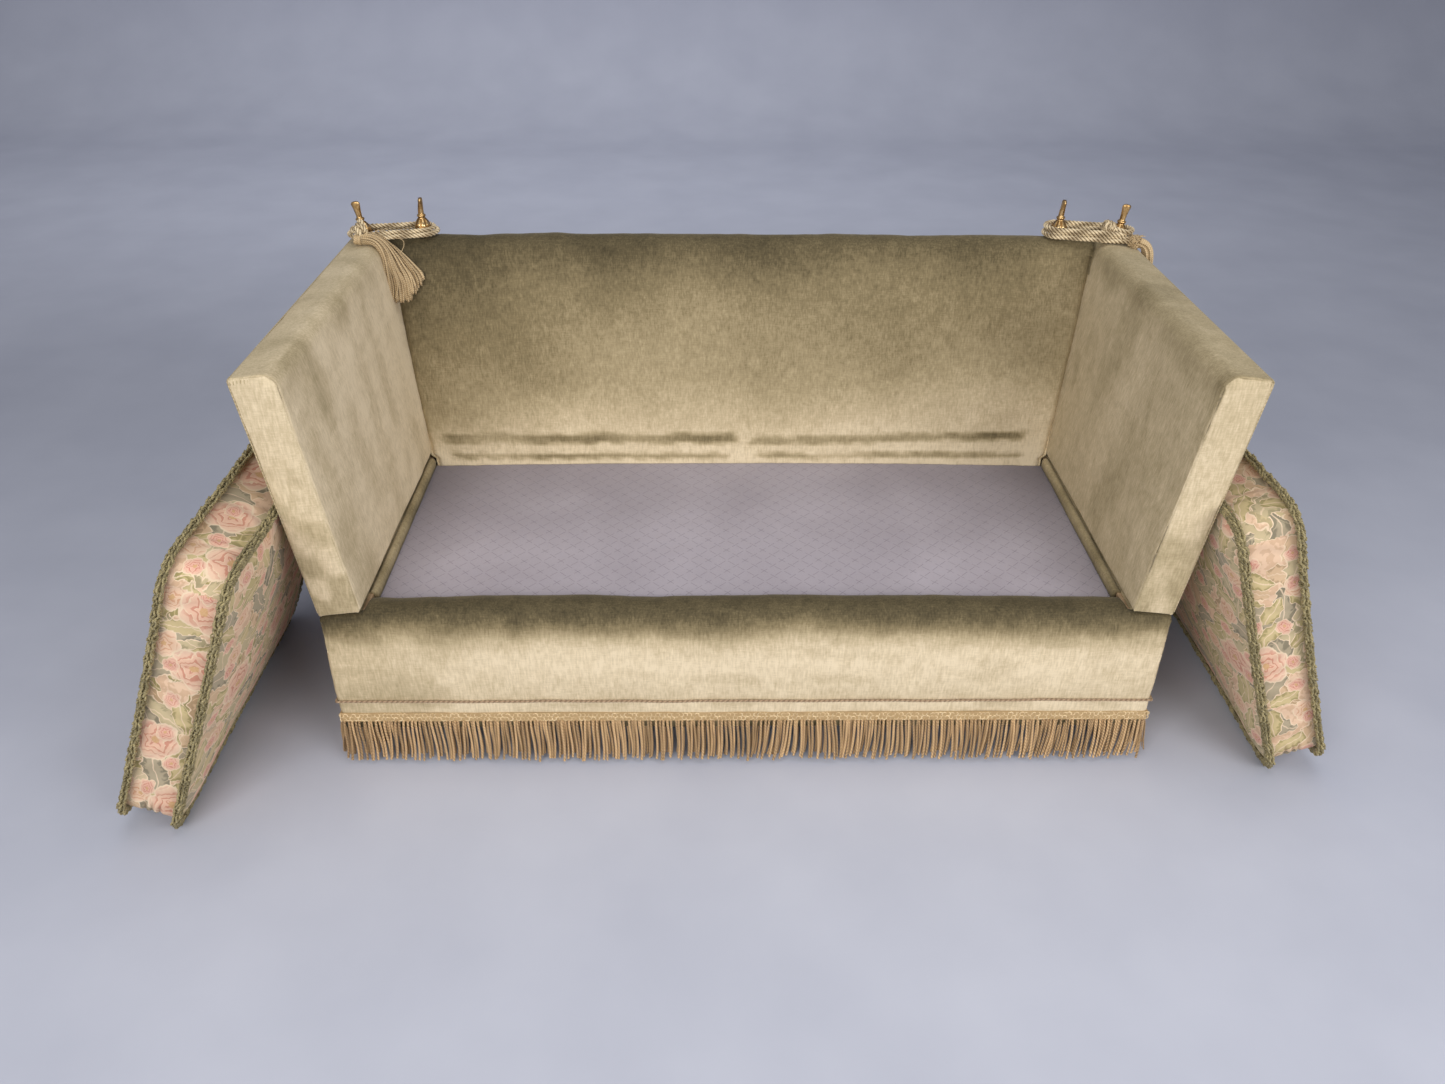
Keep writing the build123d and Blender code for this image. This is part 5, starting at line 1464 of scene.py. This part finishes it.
left_skirt_shares = (
    (0.0, 0.0, 0.0, 0.073, 0.067, 0.0),
    (0.118, 0.01, 0.012, 0.1, 0.063, 0.0),
    (0.225, 0.02, -0.035, 0.115, 0.06, 4.0),
    (0.338, 0.022, -0.18, 0.135, 0.056, 20.0),
    (0.431, 0.0, -0.387, 0.175, 0.053, 45.0),
    (0.558, -0.042, -0.653, 0.235, 0.05, 72.0),
    (0.528, -0.088, -0.9, 0.235, 0.046, 72.0),
)
right_skirt_shares = (
    (0.0, 0.0, 0.0, 0.095, 0.09, 0.0),
    (0.095, -0.03, -0.02, 0.114, 0.095, 0.0),
    (0.181, -0.07, -0.135, 0.133, 0.1, 0.0),
    (0.21, -0.11, -0.325, 0.143, 0.1, 0.0),
    (0.205, -0.14, -0.57, 0.148, 0.095, 0.0),
    (0.195, -0.155, -0.82, 0.152, 0.086, 0.0),
)


golden_angle = 2.399963


def skirt_strands(start, length, shares, count, radius, seed, spread, slant=0.0):
    """Strands that fan out along a skirt's stations, each with a knotted tip."""
    pick = np.random.default_rng(seed)
    shares = np.array(shares)
    middles = np.array(start) + shares[:, :3] * length
    ways = np.gradient(middles, axis=0)
    ways /= np.linalg.norm(ways, axis=1)[:, None]
    turn = np.radians(shares[:, 5])
    fan = np.stack([np.sin(turn), np.cos(turn), np.zeros(len(turn))], axis=1)
    fan -= ways * (ways * fan).sum(axis=1)[:, None]
    fan /= np.linalg.norm(fan, axis=1)[:, None]
    thick = np.cross(ways, fan)
    tubes = []
    for i in range(count):
        angle = golden_angle * i
        away = math.sqrt((i + 0.5) / count)
        a, b = away * math.cos(angle), away * math.sin(angle)
        wander = np.cumsum(pick.normal(0, 0.045, (len(shares), 2)), axis=0)
        aside = np.clip(a + wander[:, 0], -1, 1) * shares[:, 3] * length * spread
        over = np.clip(b + wander[:, 1], -1, 1) * shares[:, 4] * length
        line = middles + fan * aside[:, None] + thick * over[:, None]
        stop = pick.uniform(0.0, 0.06) * length
        line[-1] += ways[-1] * (0.03 * length - stop)
        line = evenly(smooth_line(line), length / 22)
        line = line[:int(len(line) * (1 - slant * max(0.0, a)))]
        radii = np.full(len(line), radius)
        radii[-3:] = radius * 1.35, radius * 1.5, radius * 0.8
        points, faces, lay = tube(line, radii, count=6)
        points[:, 1] += front_plane
        tubes.append((points, faces, lay))
    return tubes


def ring_line(centre, axis, radius, squash=1.0, turns=1.0, rise=0.0, count=16, start=0.0):
    """A winding about an axis."""
    axis = np.array(axis, float) / np.linalg.norm(axis)
    first = np.cross(axis, (0, 0, 1.0))
    if np.linalg.norm(first) < 0.1:
        first = np.cross(axis, (0, 1.0, 0))
    first /= np.linalg.norm(first)
    second = np.cross(axis, first)
    at = np.linspace(0, turns, max(8, int(count * turns)))
    angle = 2 * math.pi * at + start
    return (
        np.array(centre)
        + first * (np.cos(angle) * radius)[:, None]
        + second * (np.sin(angle) * radius * squash)[:, None]
        + axis * ((at / turns - 0.5) * rise)[:, None]
    )


def shifted(points):
    """The same points with their depths counted from the sofa's front."""
    return np.asarray(points, float) + np.array([0, front_plane, 0])


def ball_weave(centre, radius, yarn_radius, leads=3, bights=7):
    """A woven ball: a closed line that passes over and under itself round a sphere."""
    at = np.linspace(0, 2 * math.pi, 260)
    longitude = leads * at
    latitude = math.radians(58) * np.sin(bights * at)
    out = radius - yarn_radius + 0.5 * yarn_radius * np.cos(2 * bights * at + leads * at)
    line = np.stack([
        out * np.cos(latitude) * np.cos(longitude),
        out * np.cos(latitude) * np.sin(longitude),
        out * np.sin(latitude),
    ], axis=1)
    return np.asarray(centre) + line


def left_tassel():
    knot = np.array([-0.8310, 0.6925, 0.8955])
    neck = np.array([-0.8380, 0.6830, 0.8722])
    bends = [
        ring_line(knot + shift, axis, 0.0105, 1.1, 1.25, 0.009, 14, begin)
        for shift, axis, begin in (
            ((-0.001, 0.002, 0.002), (0.7, 0.5, -0.1), 0.3),
            ((0.001, -0.002, -0.002), (0.5, 0.8, 0.3), 2.0),
            ((-0.002, -0.003, -0.009), (0.9, 0.2, 0.2), 3.6),
        )
    ]
    bends.append([knot, knot * 0.6 + neck * 0.4 + (-0.004, 0, 0), neck + (-0.006, 0, 0.004)])
    rope = [rope_along(smooth_line(shifted(bend)), 0.0052) for bend in bends]
    knot_piece = tubes_piece("left_rope_knot", rope, rope_yarn)
    belongs(knot_piece, "left_arm", "cream_rope", "left_tassel_head")
    binding = ring_line(neck, (1, 0, 0), 0.0102, 0.96, 9, 0.0155, 18)
    band = ring_line(neck + (0.0035, 0, 0), (1, 0.12, 0), 0.0114, 0.96, 4, 0.007, 18)
    wrap = [tube(shifted(binding), 0.00105, count=6), tube(shifted(band), 0.0012, count=6)]
    wrap += [tube(shifted([neck + (-0.008, 0, 0), neck, neck + (0.008, 0, 0)]), 0.0098, count=14)]
    # painted shade: the neck under the windings gets a darker tone than the windings
    collar = tubes_piece("left_tassel_collar", wrap, tassel_yarn, [0.9, 0.8, 0.3])
    belongs(collar, "left_arm", "gold_tassel", "left_tassel_head")
    skirt = skirt_strands(neck + (0.0083, 0, 0), 0.150, left_skirt_shares, 62, 0.0021, 5, 1.38, slant=0.26)
    stray = smooth_line(shifted([
        (-0.806, 0.681, 0.884), (-0.797, 0.688, 0.893), (-0.782, 0.694, 0.888), (-0.768, 0.700, 0.872),
        (-0.752, 0.704, 0.868), (-0.744, 0.702, 0.862), (-0.748, 0.696, 0.846), (-0.756, 0.690, 0.838),
    ]))
    skirt.append(tube(evenly(stray, 0.004), 0.00075, count=5))
    pick = np.random.default_rng(9)
    obj = tubes_piece("left_tassel_strands", skirt, tassel_yarn, list(pick.uniform(0, 1, len(skirt))))
    belongs(obj, "left_arm", "gold_tassel", "left_tassel_skirt")


def right_tassel():
    ball = np.array([0.8110, 0.7170, 0.8930])
    weave = [tube(shifted(ball_weave(ball, 0.0175, 0.0031)), 0.0031, count=8)]
    weave.append(tube(shifted(ball_weave(ball + (0.0004, 0, 0), 0.0166, 0.0030, 2, 5)), 0.0030, count=8))
    # painted shade: the filling seen between the woven strands gets a dark tone
    filling = shifted([ball + (0, 0, -0.012), ball, ball + (0, 0, 0.012)])
    core = tube(filling, [0.005, 0.0125, 0.005], count=12)
    obj = tubes_piece("right_ball_knot", weave + [core], rope_yarn, [0.6, 0.5, 0.1])
    belongs(obj, "right_arm", "cream_rope", "right_rope_knot")
    head = np.array([0.8666, 0.6943, 0.8690])
    pick = np.random.default_rng(12)
    tufts = []
    count = 240
    for i in range(count):
        level = 1 - 2 * (i + 0.5) / count
        angle = golden_angle * i
        flat = math.sqrt(1 - level * level)
        way = np.array([level, flat * math.cos(angle), flat * math.sin(angle)])
        lean = np.cross(way, pick.normal(size=3)) * 0.5
        root = head + way * 0.0090
        bend = head + (way + lean * 0.35) * 0.0120
        tip = head + (way + lean) * 0.0134
        tufts.append(tube(shifted([root, bend, tip]), [0.0016, 0.0015, 0.0007], count=5))
    core = [head + (x, 0, 0) for x in (-0.0085, -0.005, 0, 0.005, 0.0085)]
    tufts.append(tube(shifted(core), [0.004, 0.0075, 0.0092, 0.0075, 0.004], count=14))
    tones = list(pick.uniform(0.2, 1, len(tufts)))
    obj = tubes_piece("right_tassel_tuft", tufts, tassel_yarn, tones)
    belongs(obj, "right_arm", "gold_tassel", "right_tassel_head")
    skirt = skirt_strands(head + (0.0103, 0, 0), 0.105, right_skirt_shares, 74, 0.0019, 6, 1.25)
    obj = tubes_piece("right_tassel_strands", skirt, tassel_yarn, list(pick.uniform(0, 1, len(skirt))))
    belongs(obj, "right_arm", "gold_tassel", "right_tassel_skirt")


left_tassel()
right_tassel()


# Loose cushions

tapestry = floral_tapestry()
ruche_yarn = yarn("olive_ruche", (0.060, 0.048, 0.016), (0.560, 0.465, 0.235), 120, roughness=0.6, plies=2)


def cushion_frame(name):
    """From a cushion's own flat axes to its leaning place."""
    side = sides[name]
    turn = math.pi / 2 - cushion_lean[name]
    c, s = math.cos(turn), math.sin(turn)
    x, y, z = cushion_centre[name]
    rows = np.array([[c, 0, s], [0, 1, 0], [-s, 0, c]])
    if side < 0:
        rows[0] *= -1
    return rows, np.array([x, y + front_plane, z])


def seam_ring(width, length, corner, count):
    """A rounded rectangle whose sides draw in between its corners."""
    w, l = width / 2, length / 2
    draw = math.tan(draw_angle / 2)
    long_draw, side_draw = (w - corner) * draw, (l - corner) * draw
    half_root = math.sqrt(0.5)
    sagitta = corner * half_root * math.tan((math.pi / 2 + 2 * draw_angle) / 4)
    nose = corner / 2 - sagitta * half_root
    stops = [
        ((-w + corner, -l), (0, -l + long_draw), (w - corner, -l)),
        ((w - corner, -l), (w - nose, -l + nose), (w, -l + corner)),
        ((w, -l + corner), (w - side_draw, 0), (w, l - corner)),
        ((w, l - corner), (w - nose, l - nose), (w - corner, l)),
        ((w - corner, l), (0, l - long_draw), (-w + corner, l)),
        ((-w + corner, l), (-w + nose, l - nose), (-w, l - corner)),
        ((-w, l - corner), (-w + side_draw, 0), (-w, -l + corner)),
        ((-w, -l + corner), (-w + nose, -l + nose), (-w + corner, -l)),
    ]
    line = []
    for stop in stops:
        line.extend(arc_points(*stop, 40)[:-1])
    line = np.array(line + line[:1])
    length = distance_along(line)
    at = np.linspace(0, length[-1], count + 1)[:-1]
    return np.stack([np.interp(at, length, line[:, k]) for k in range(2)], axis=1)


def nearest_share(points, ring):
    """How far round a ring each point is, from 0 to 1, and how far from it."""
    tree = KDTree(len(ring))
    for i, (x, y) in enumerate(ring):
        tree.insert((x, y, 0), i)
    tree.balance()
    found = [tree.find((x, y, 0))[1:] for x, y in points.tolist()]
    return np.array([i for i, _ in found]) / len(ring), np.array([far for _, far in found])


def swollen(obj, pinned, still, cap, pressure=4.0):
    """Blows a closed case up by cloth simulation, holding its seams."""
    start, _ = vertices_of(obj)
    held = obj.vertex_groups.new(name="seam")
    held.add([int(i) for i in np.flatnonzero(pinned)], 1.0, "REPLACE")
    cloth = obj.modifiers.new("swell", "CLOTH")
    cloth.settings.effector_weights.gravity = 0
    for label, value in (
        ("use_pressure", True), ("uniform_pressure_force", pressure), ("vertex_group_mass", "seam"),
        ("quality", 3), ("tension_stiffness", 25), ("compression_stiffness", 25), ("bending_stiffness", 0.6),
    ):
        setattr(cloth.settings, label, value)
    scene = bpy.context.scene
    for step in range(1, 21):
        scene.frame_set(step)
    settle(obj)
    obj.vertex_groups.clear()
    scene.frame_set(1)
    move = vertices_of(obj)[0] - start
    far = np.linalg.norm(move, axis=1)
    soft = cap * np.tanh(far / cap)
    move *= (soft / np.maximum(far, 1e-9) * (1 - still))[:, None]
    set_vertices(obj, start + move)


def cushion(name):
    """A loose box cushion: a blown case and its looped ruche on both seams."""
    node_name = name + "_cushion_case"
    rows, middle = cushion_frame(name)
    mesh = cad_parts[node_name].data.copy()
    obj = in_scene(name + "_cushion_pad", mesh)
    merge = obj.modifiers.new("merge", "WELD")
    merge.merge_threshold = 0.00002
    remesh = obj.modifiers.new("remesh", "REMESH")
    remesh.mode = "VOXEL"
    remesh.voxel_size = 0.0078
    settle(obj)
    bpy.data.meshes.remove(mesh)
    world, _ = vertices_of(obj)
    local = (world - middle) @ rows
    half = case_size[2] / 2
    ring = seam_ring(case_size[0], case_size[1], case_corner, 720)
    rise = np.abs(local[:, 2]) - half
    _, away = nearest_share(local[:, :2], ring)
    on_face = rise > 0.001
    local[:, 2] -= np.sign(local[:, 2]) * np.where(on_face, rise * 0.42, 0)
    set_vertices(obj, local @ rows.T + middle)
    seam = (np.abs(rise) < 0.0075) & (away < 0.009)
    beside_zip = soft_step(local[:, 1], 0.30, 0.32) * soft_step(-np.abs(local[:, 0]), -0.25, -0.23)
    swollen(obj, seam, beside_zip * soft_step(-np.abs(local[:, 2]), -0.024, -0.010), 0.024)
    fine = obj.modifiers.new("fine", "SUBSURF")
    fine.levels = fine.render_levels = 1
    settle(obj)
    world, normals = vertices_of(obj)
    local = (world - middle) @ rows
    share, away = nearest_share(local[:, :2], ring)
    # soft puckers that the seams draw into the faces, and slack folds
    near_seam = np.exp(-away / 0.02)
    pucker = np.sin(share * 2 * math.pi * 58 + 2.0 * lumps(local, 0.12, 110)) * near_seam
    height = pucker * 0.0008 + lumps(local, 0.16, 111, (1, 2.2, 1)) * 0.0016 * (1 - near_seam)
    # the pleats at the border's lower front corner, with painted shade in their creases
    lower = soft_step(local[:, 0], 0.250, 0.275) * soft_step(-local[:, 1], 0.285, 0.315)
    crease_shade = np.zeros(len(local))
    for place in (-0.013, 0.001, 0.013):
        fold = lower * np.exp(-(((local[:, 2] - place) / 0.0034) ** 2))
        height -= 0.0042 * fold
        crease_shade = np.maximum(crease_shade, fold)
    height += 0.0018 * lower * np.exp(-((local[:, 2] / 0.016) ** 2))
    # painted shade along the seams
    crease_shade = np.maximum(crease_shade * 0.85, 0.30 * np.exp(-away / 0.006) * (0.6 + 0.4 * pucker))
    world = world + normals * height[:, None]
    world[:, 2] = np.maximum(world[:, 2], 0.0012)
    set_vertices(obj, world)
    point_values(obj, "crease_shade", crease_shade)
    obj.data.materials.clear()
    obj.data.materials.append(tapestry)
    obj.data.shade_smooth()

    # the cloth's own flat measure: the faces as they lie, the border round its seam
    local = (world - middle) @ rows
    loops_of = np.zeros(len(obj.data.loops), int)
    obj.data.loops.foreach_get("vertex_index", loops_of)
    totals = np.zeros(len(obj.data.polygons), int)
    obj.data.polygons.foreach_get("loop_total", totals)
    face_of = np.repeat(np.arange(len(totals)), totals)
    centres = np.zeros((len(totals), 3))
    np.add.at(centres, face_of, local[loops_of])
    centres /= totals[:, None]
    face_share, face_away = nearest_share(centres[:, :2], ring)
    is_border = (np.abs(centres[:, 2]) < half) & (face_away < 0.03)
    round_length = distance_along(np.vstack([ring, ring[:1]]))[-1]
    own = share[loops_of]
    mid = face_share[face_of]
    own = own + np.where(own - mid > 0.5, -1, 0) + np.where(mid - own > 0.5, 1, 0)
    border_uv = np.stack([own * round_length + 0.7, local[loops_of, 2] + 0.2], axis=1)
    flat_x = local[loops_of, 0] * np.sign(local[loops_of, 2])
    face_uv = np.stack([local[loops_of, 1], flat_x], axis=1) + 0.4
    uv = np.where(is_border[face_of][:, None], border_uv, face_uv) + (0.0 if name == "left" else 1.3)
    layer = obj.data.uv_layers.new(name="cloth")
    layer.data.foreach_set("uv", uv.astype(np.float32).ravel())
    obj.data.uv_layers.active = layer
    belongs(obj, name + "_cushion", "floral_tapestry", node_name)

    ruche = []
    outline = seam_ring(
        case_size[0] + 2 * trim_offset, case_size[1] + 2 * trim_offset, case_corner + trim_offset, 360
    )
    for level in (-half, half):
        path = np.column_stack([outline, np.full(len(outline), level)])
        outward = np.sign(level)
        for row, (offset, lift, turn) in enumerate((
            (0.0050, 0.0010, 35), (0.0004, 0.0048, 80), (-0.0048, 0.0040, 115), (0.0042, -0.0048, -25),
        )):
            ruche.append(grow("%s_ruche%d" % (name, len(ruche)), loops, [path], {
                "Loop Radius": 0.0050, "Yarn Radius": 0.0019, "Pitch": 0.0086, "Offset": offset,
                "Rise": lift * outward, "Turn": (math.radians(90), math.radians(turn), 0.0), "Tip": 0.45,
                "Stretch": 1.2, "Seed": 31 + row + int(level > 0) * 9, "Finish": ruche_yarn,
            }, closed=True))
        # painted shade: the core between the loops gets the darkest tone
        core = tube(np.vstack([path, path[:1]]), 0.0056)
        ruche.append(tubes_piece("%s_ruche_core%d" % (name, int(level > 0)), [core], ruche_yarn, [0.0]))
    trim = joined_pieces(name + "_ruche", ruche)
    points, _ = vertices_of(trim)
    points = points @ rows.T + middle
    points[:, 2] = np.maximum(points[:, 2], 0.0008)
    set_vertices(trim, points)
    if sides[name] < 0:
        trim.data.flip_normals()
    belongs(trim, name + "_cushion", "olive_ruche", name + "_cushion_trims")


zip_tape = plain_cloth("zip_tape", (0.10, 0.09, 0.04), (0.24, 0.22, 0.12), 500)


def closed_zip(name):
    """The zip in a cushion's rear border: its tape, two rows of teeth and the slider with its pull."""
    rows, middle = cushion_frame(name)
    body = name + "_cushion"
    tape = cloth_copy(name + "_zip_tape", body + "_zip", zip_tape, 0.012, 0.0002)
    points, _ = vertices_of(tape)
    local = (points - middle) @ rows
    belongs(tape, body, "zip_tape", body + "_zip")
    ends = local[np.abs(local[:, 0]) > 0.215][:, 1].max()
    dip = ends - local[np.abs(local[:, 0]) < 0.02][:, 1].max()
    level = np.median(local[:, 2])
    teeth, faces = [], []
    signs = (-1, 1)
    cube = np.array([(x, y, z) for x in signs for y in signs for z in signs], float)
    sides_of = [(0, 1, 3, 2), (4, 6, 7, 5), (0, 4, 5, 1), (2, 3, 7, 6), (0, 2, 6, 4), (1, 5, 7, 3)]

    def block(centre, size):
        start = len(teeth) * 8
        teeth.append(np.asarray(centre) + cube * np.asarray(size) / 2)
        faces.extend([[start + k for k in face] for face in sides_of])

    def out(x):
        """The line that the teeth follow along the drawn-in border."""
        return ends - dip * (1 - (x / 0.2235) ** 2)

    for k, x in enumerate(np.arange(-0.205, 0.205, 0.0017)):
        block((x, out(x) + 0.0003, level + (0.0007 if k % 2 else -0.0007)), (0.0011, 0.0014, 0.0026))
    for x, size, lift in (
        (0.206, (0.0090, 0.0022, 0.0075), 0.0007), (0.2045, (0.0040, 0.0018, 0.0022), 0.0022),
        (0.2115, (0.0120, 0.0007, 0.0046), 0.0023),
    ):
        block((x, out(x) + lift, level), size)
    world = np.vstack(teeth) @ rows.T + middle
    faces = turned_faces(faces, sides[name] < 0)
    obj = new_piece(name + "_zip_teeth", world, faces, brass, smooth=False)
    belongs(obj, body, "zip_tape")


for name in sides:
    cushion(name)
    closed_zip(name)


# Finishes of the CAD nodes that stay

jute = plain_cloth("webbing", (0.30, 0.22, 0.12), (0.56, 0.44, 0.28), 260, stripe=28)
wadding = plain_cloth("wadding", (0.62, 0.59, 0.53), (0.86, 0.84, 0.79), 90)
underlining = plain_cloth("dust_cloth", (0.012, 0.012, 0.012), (0.045, 0.045, 0.045), 320)
for name, node_name, cloth, slot, step, height in (
    ("seat_webs", "seat_webbing", jute, "webbing", 0.05, 0.0004),
    ("back_webs", "back_webbing", jute, "webbing", 0.05, 0.0004),
    ("wadding_pad", "platform_pad", wadding, "wadding", 0.025, 0.0005),
    ("underlining", "dust_cover", underlining, "dust_cloth", 0.04, 0.0006),
):
    belongs(cloth_copy(name, node_name, cloth, step, height), "sofa_frame", slot, node_name)

wood = sawn_beech()
stained = sawn_beech("stained_foot", (0.035, 0.018, 0.010), (0.095, 0.052, 0.028), 0.38)
steel = hinge_steel()
for node_name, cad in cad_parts.items():
    coat = stained if node_name == "feet" else steel if "hinge" in node_name else wood
    if cad.hide_render:
        continue
    if not cad.material_slots:
        cad.data.materials.append(coat)
    for place in cad.material_slots:
        place.material = coat


# Camera and light

def camera():
    """The photograph's viewpoint and lens."""
    yaw, pitch, roll = 0.0168153, 0.583022, 0.0085976
    ahead = Vector((math.sin(yaw) * math.cos(pitch), math.cos(yaw) * math.cos(pitch), -math.sin(pitch)))
    right = Vector((math.cos(yaw), -math.sin(yaw), 0))
    up = right.cross(ahead)
    across = math.cos(roll) * right + math.sin(roll) * up
    upward = -math.sin(roll) * right + math.cos(roll) * up
    data = bpy.data.cameras.new("camera")
    data.lens = 26.69
    data.sensor_width = 36
    data.clip_end = 50
    obj = in_scene("camera", data)
    turn = Matrix((across, upward, -ahead)).transposed().to_4x4()
    obj.matrix_world = Matrix.Translation((-0.0782, -1.93305, 1.6126)) @ turn
    bpy.context.scene.camera = obj


def lamp(name, place, target, size, power, colour=(1, 1, 1)):
    data = bpy.data.lights.new(name, "AREA")
    data.shape = "RECTANGLE"
    data.size, data.size_y = size
    data.energy = power
    data.color = colour
    obj = in_scene(name, data)
    way = Vector(target) - Vector(place)
    obj.matrix_world = Matrix.Translation(place) @ way.to_track_quat("-Z", "Y").to_matrix().to_4x4()


def studio():
    """A pale floor turning up into a backdrop, under broad soft lamps."""
    material, tree, shader = finish("studio_floor", 0.75, Specular_IOR_Level=0.2)
    speckle = grain(tree, 3, 4)
    colour = ramp(tree, speckle, [(0.3, (0.49, 0.51, 0.60)), (0.7, (0.54, 0.56, 0.65))])
    # painted shade: the sweep darkens with height up the backdrop
    height = parts_of(tree, object_place(tree))[2]
    colour = mixed(tree, height.step(-0.1, 1.6), colour, (0.33, 0.34, 0.425))
    surface(tree, shader, colour, speckle, 0.0005, 0.1)
    floor_end, bend, height_end = 5.0, 1.5, 8.0
    profile = [(-8.0, 0.0), (floor_end, 0.0)]
    profile += [(floor_end + bend * math.sin(t), bend - bend * math.cos(t))
                for t in np.linspace(0.1, math.pi / 2, 12)]
    profile += [(floor_end + bend, height_end)]
    points = [(x, y, z) for y, z in profile for x in (-9.0, 9.0)]
    faces = [(2 * i, 2 * i + 1, 2 * i + 3, 2 * i + 2) for i in range(len(profile) - 1)]
    new_piece("studio_floor", points, faces, material)
    world = bpy.data.worlds.new("studio")
    bpy.context.scene.world = world
    world.use_nodes = True
    sky = world.node_tree.nodes["Background"]
    sky.inputs["Color"].default_value = (0.92, 0.94, 1.0, 1)
    sky.inputs["Strength"].default_value = 0.30
    lamp("key", (-1.6, -3.6, 2.3), (0, 0, 0.35), (2.4, 1.6), 88, (1.0, 0.98, 0.94))
    lamp("fill", (2.4, -3.0, 1.9), (0, 0, 0.4), (2.2, 1.6), 70, (1.0, 0.98, 0.95))
    lamp("top", (0.2, -0.4, 3.6), (0, 0.1, 0), (3.0, 2.0), 34, (0.97, 0.98, 1.0))
    lamp("backdrop", (-1.0, 2.9, 2.8), (-1.0, 6.4, 0.9), (6.0, 0.8), 62, (0.97, 0.98, 1.0))


camera()
studio()
bpy.context.scene.view_settings.view_transform = "Standard"
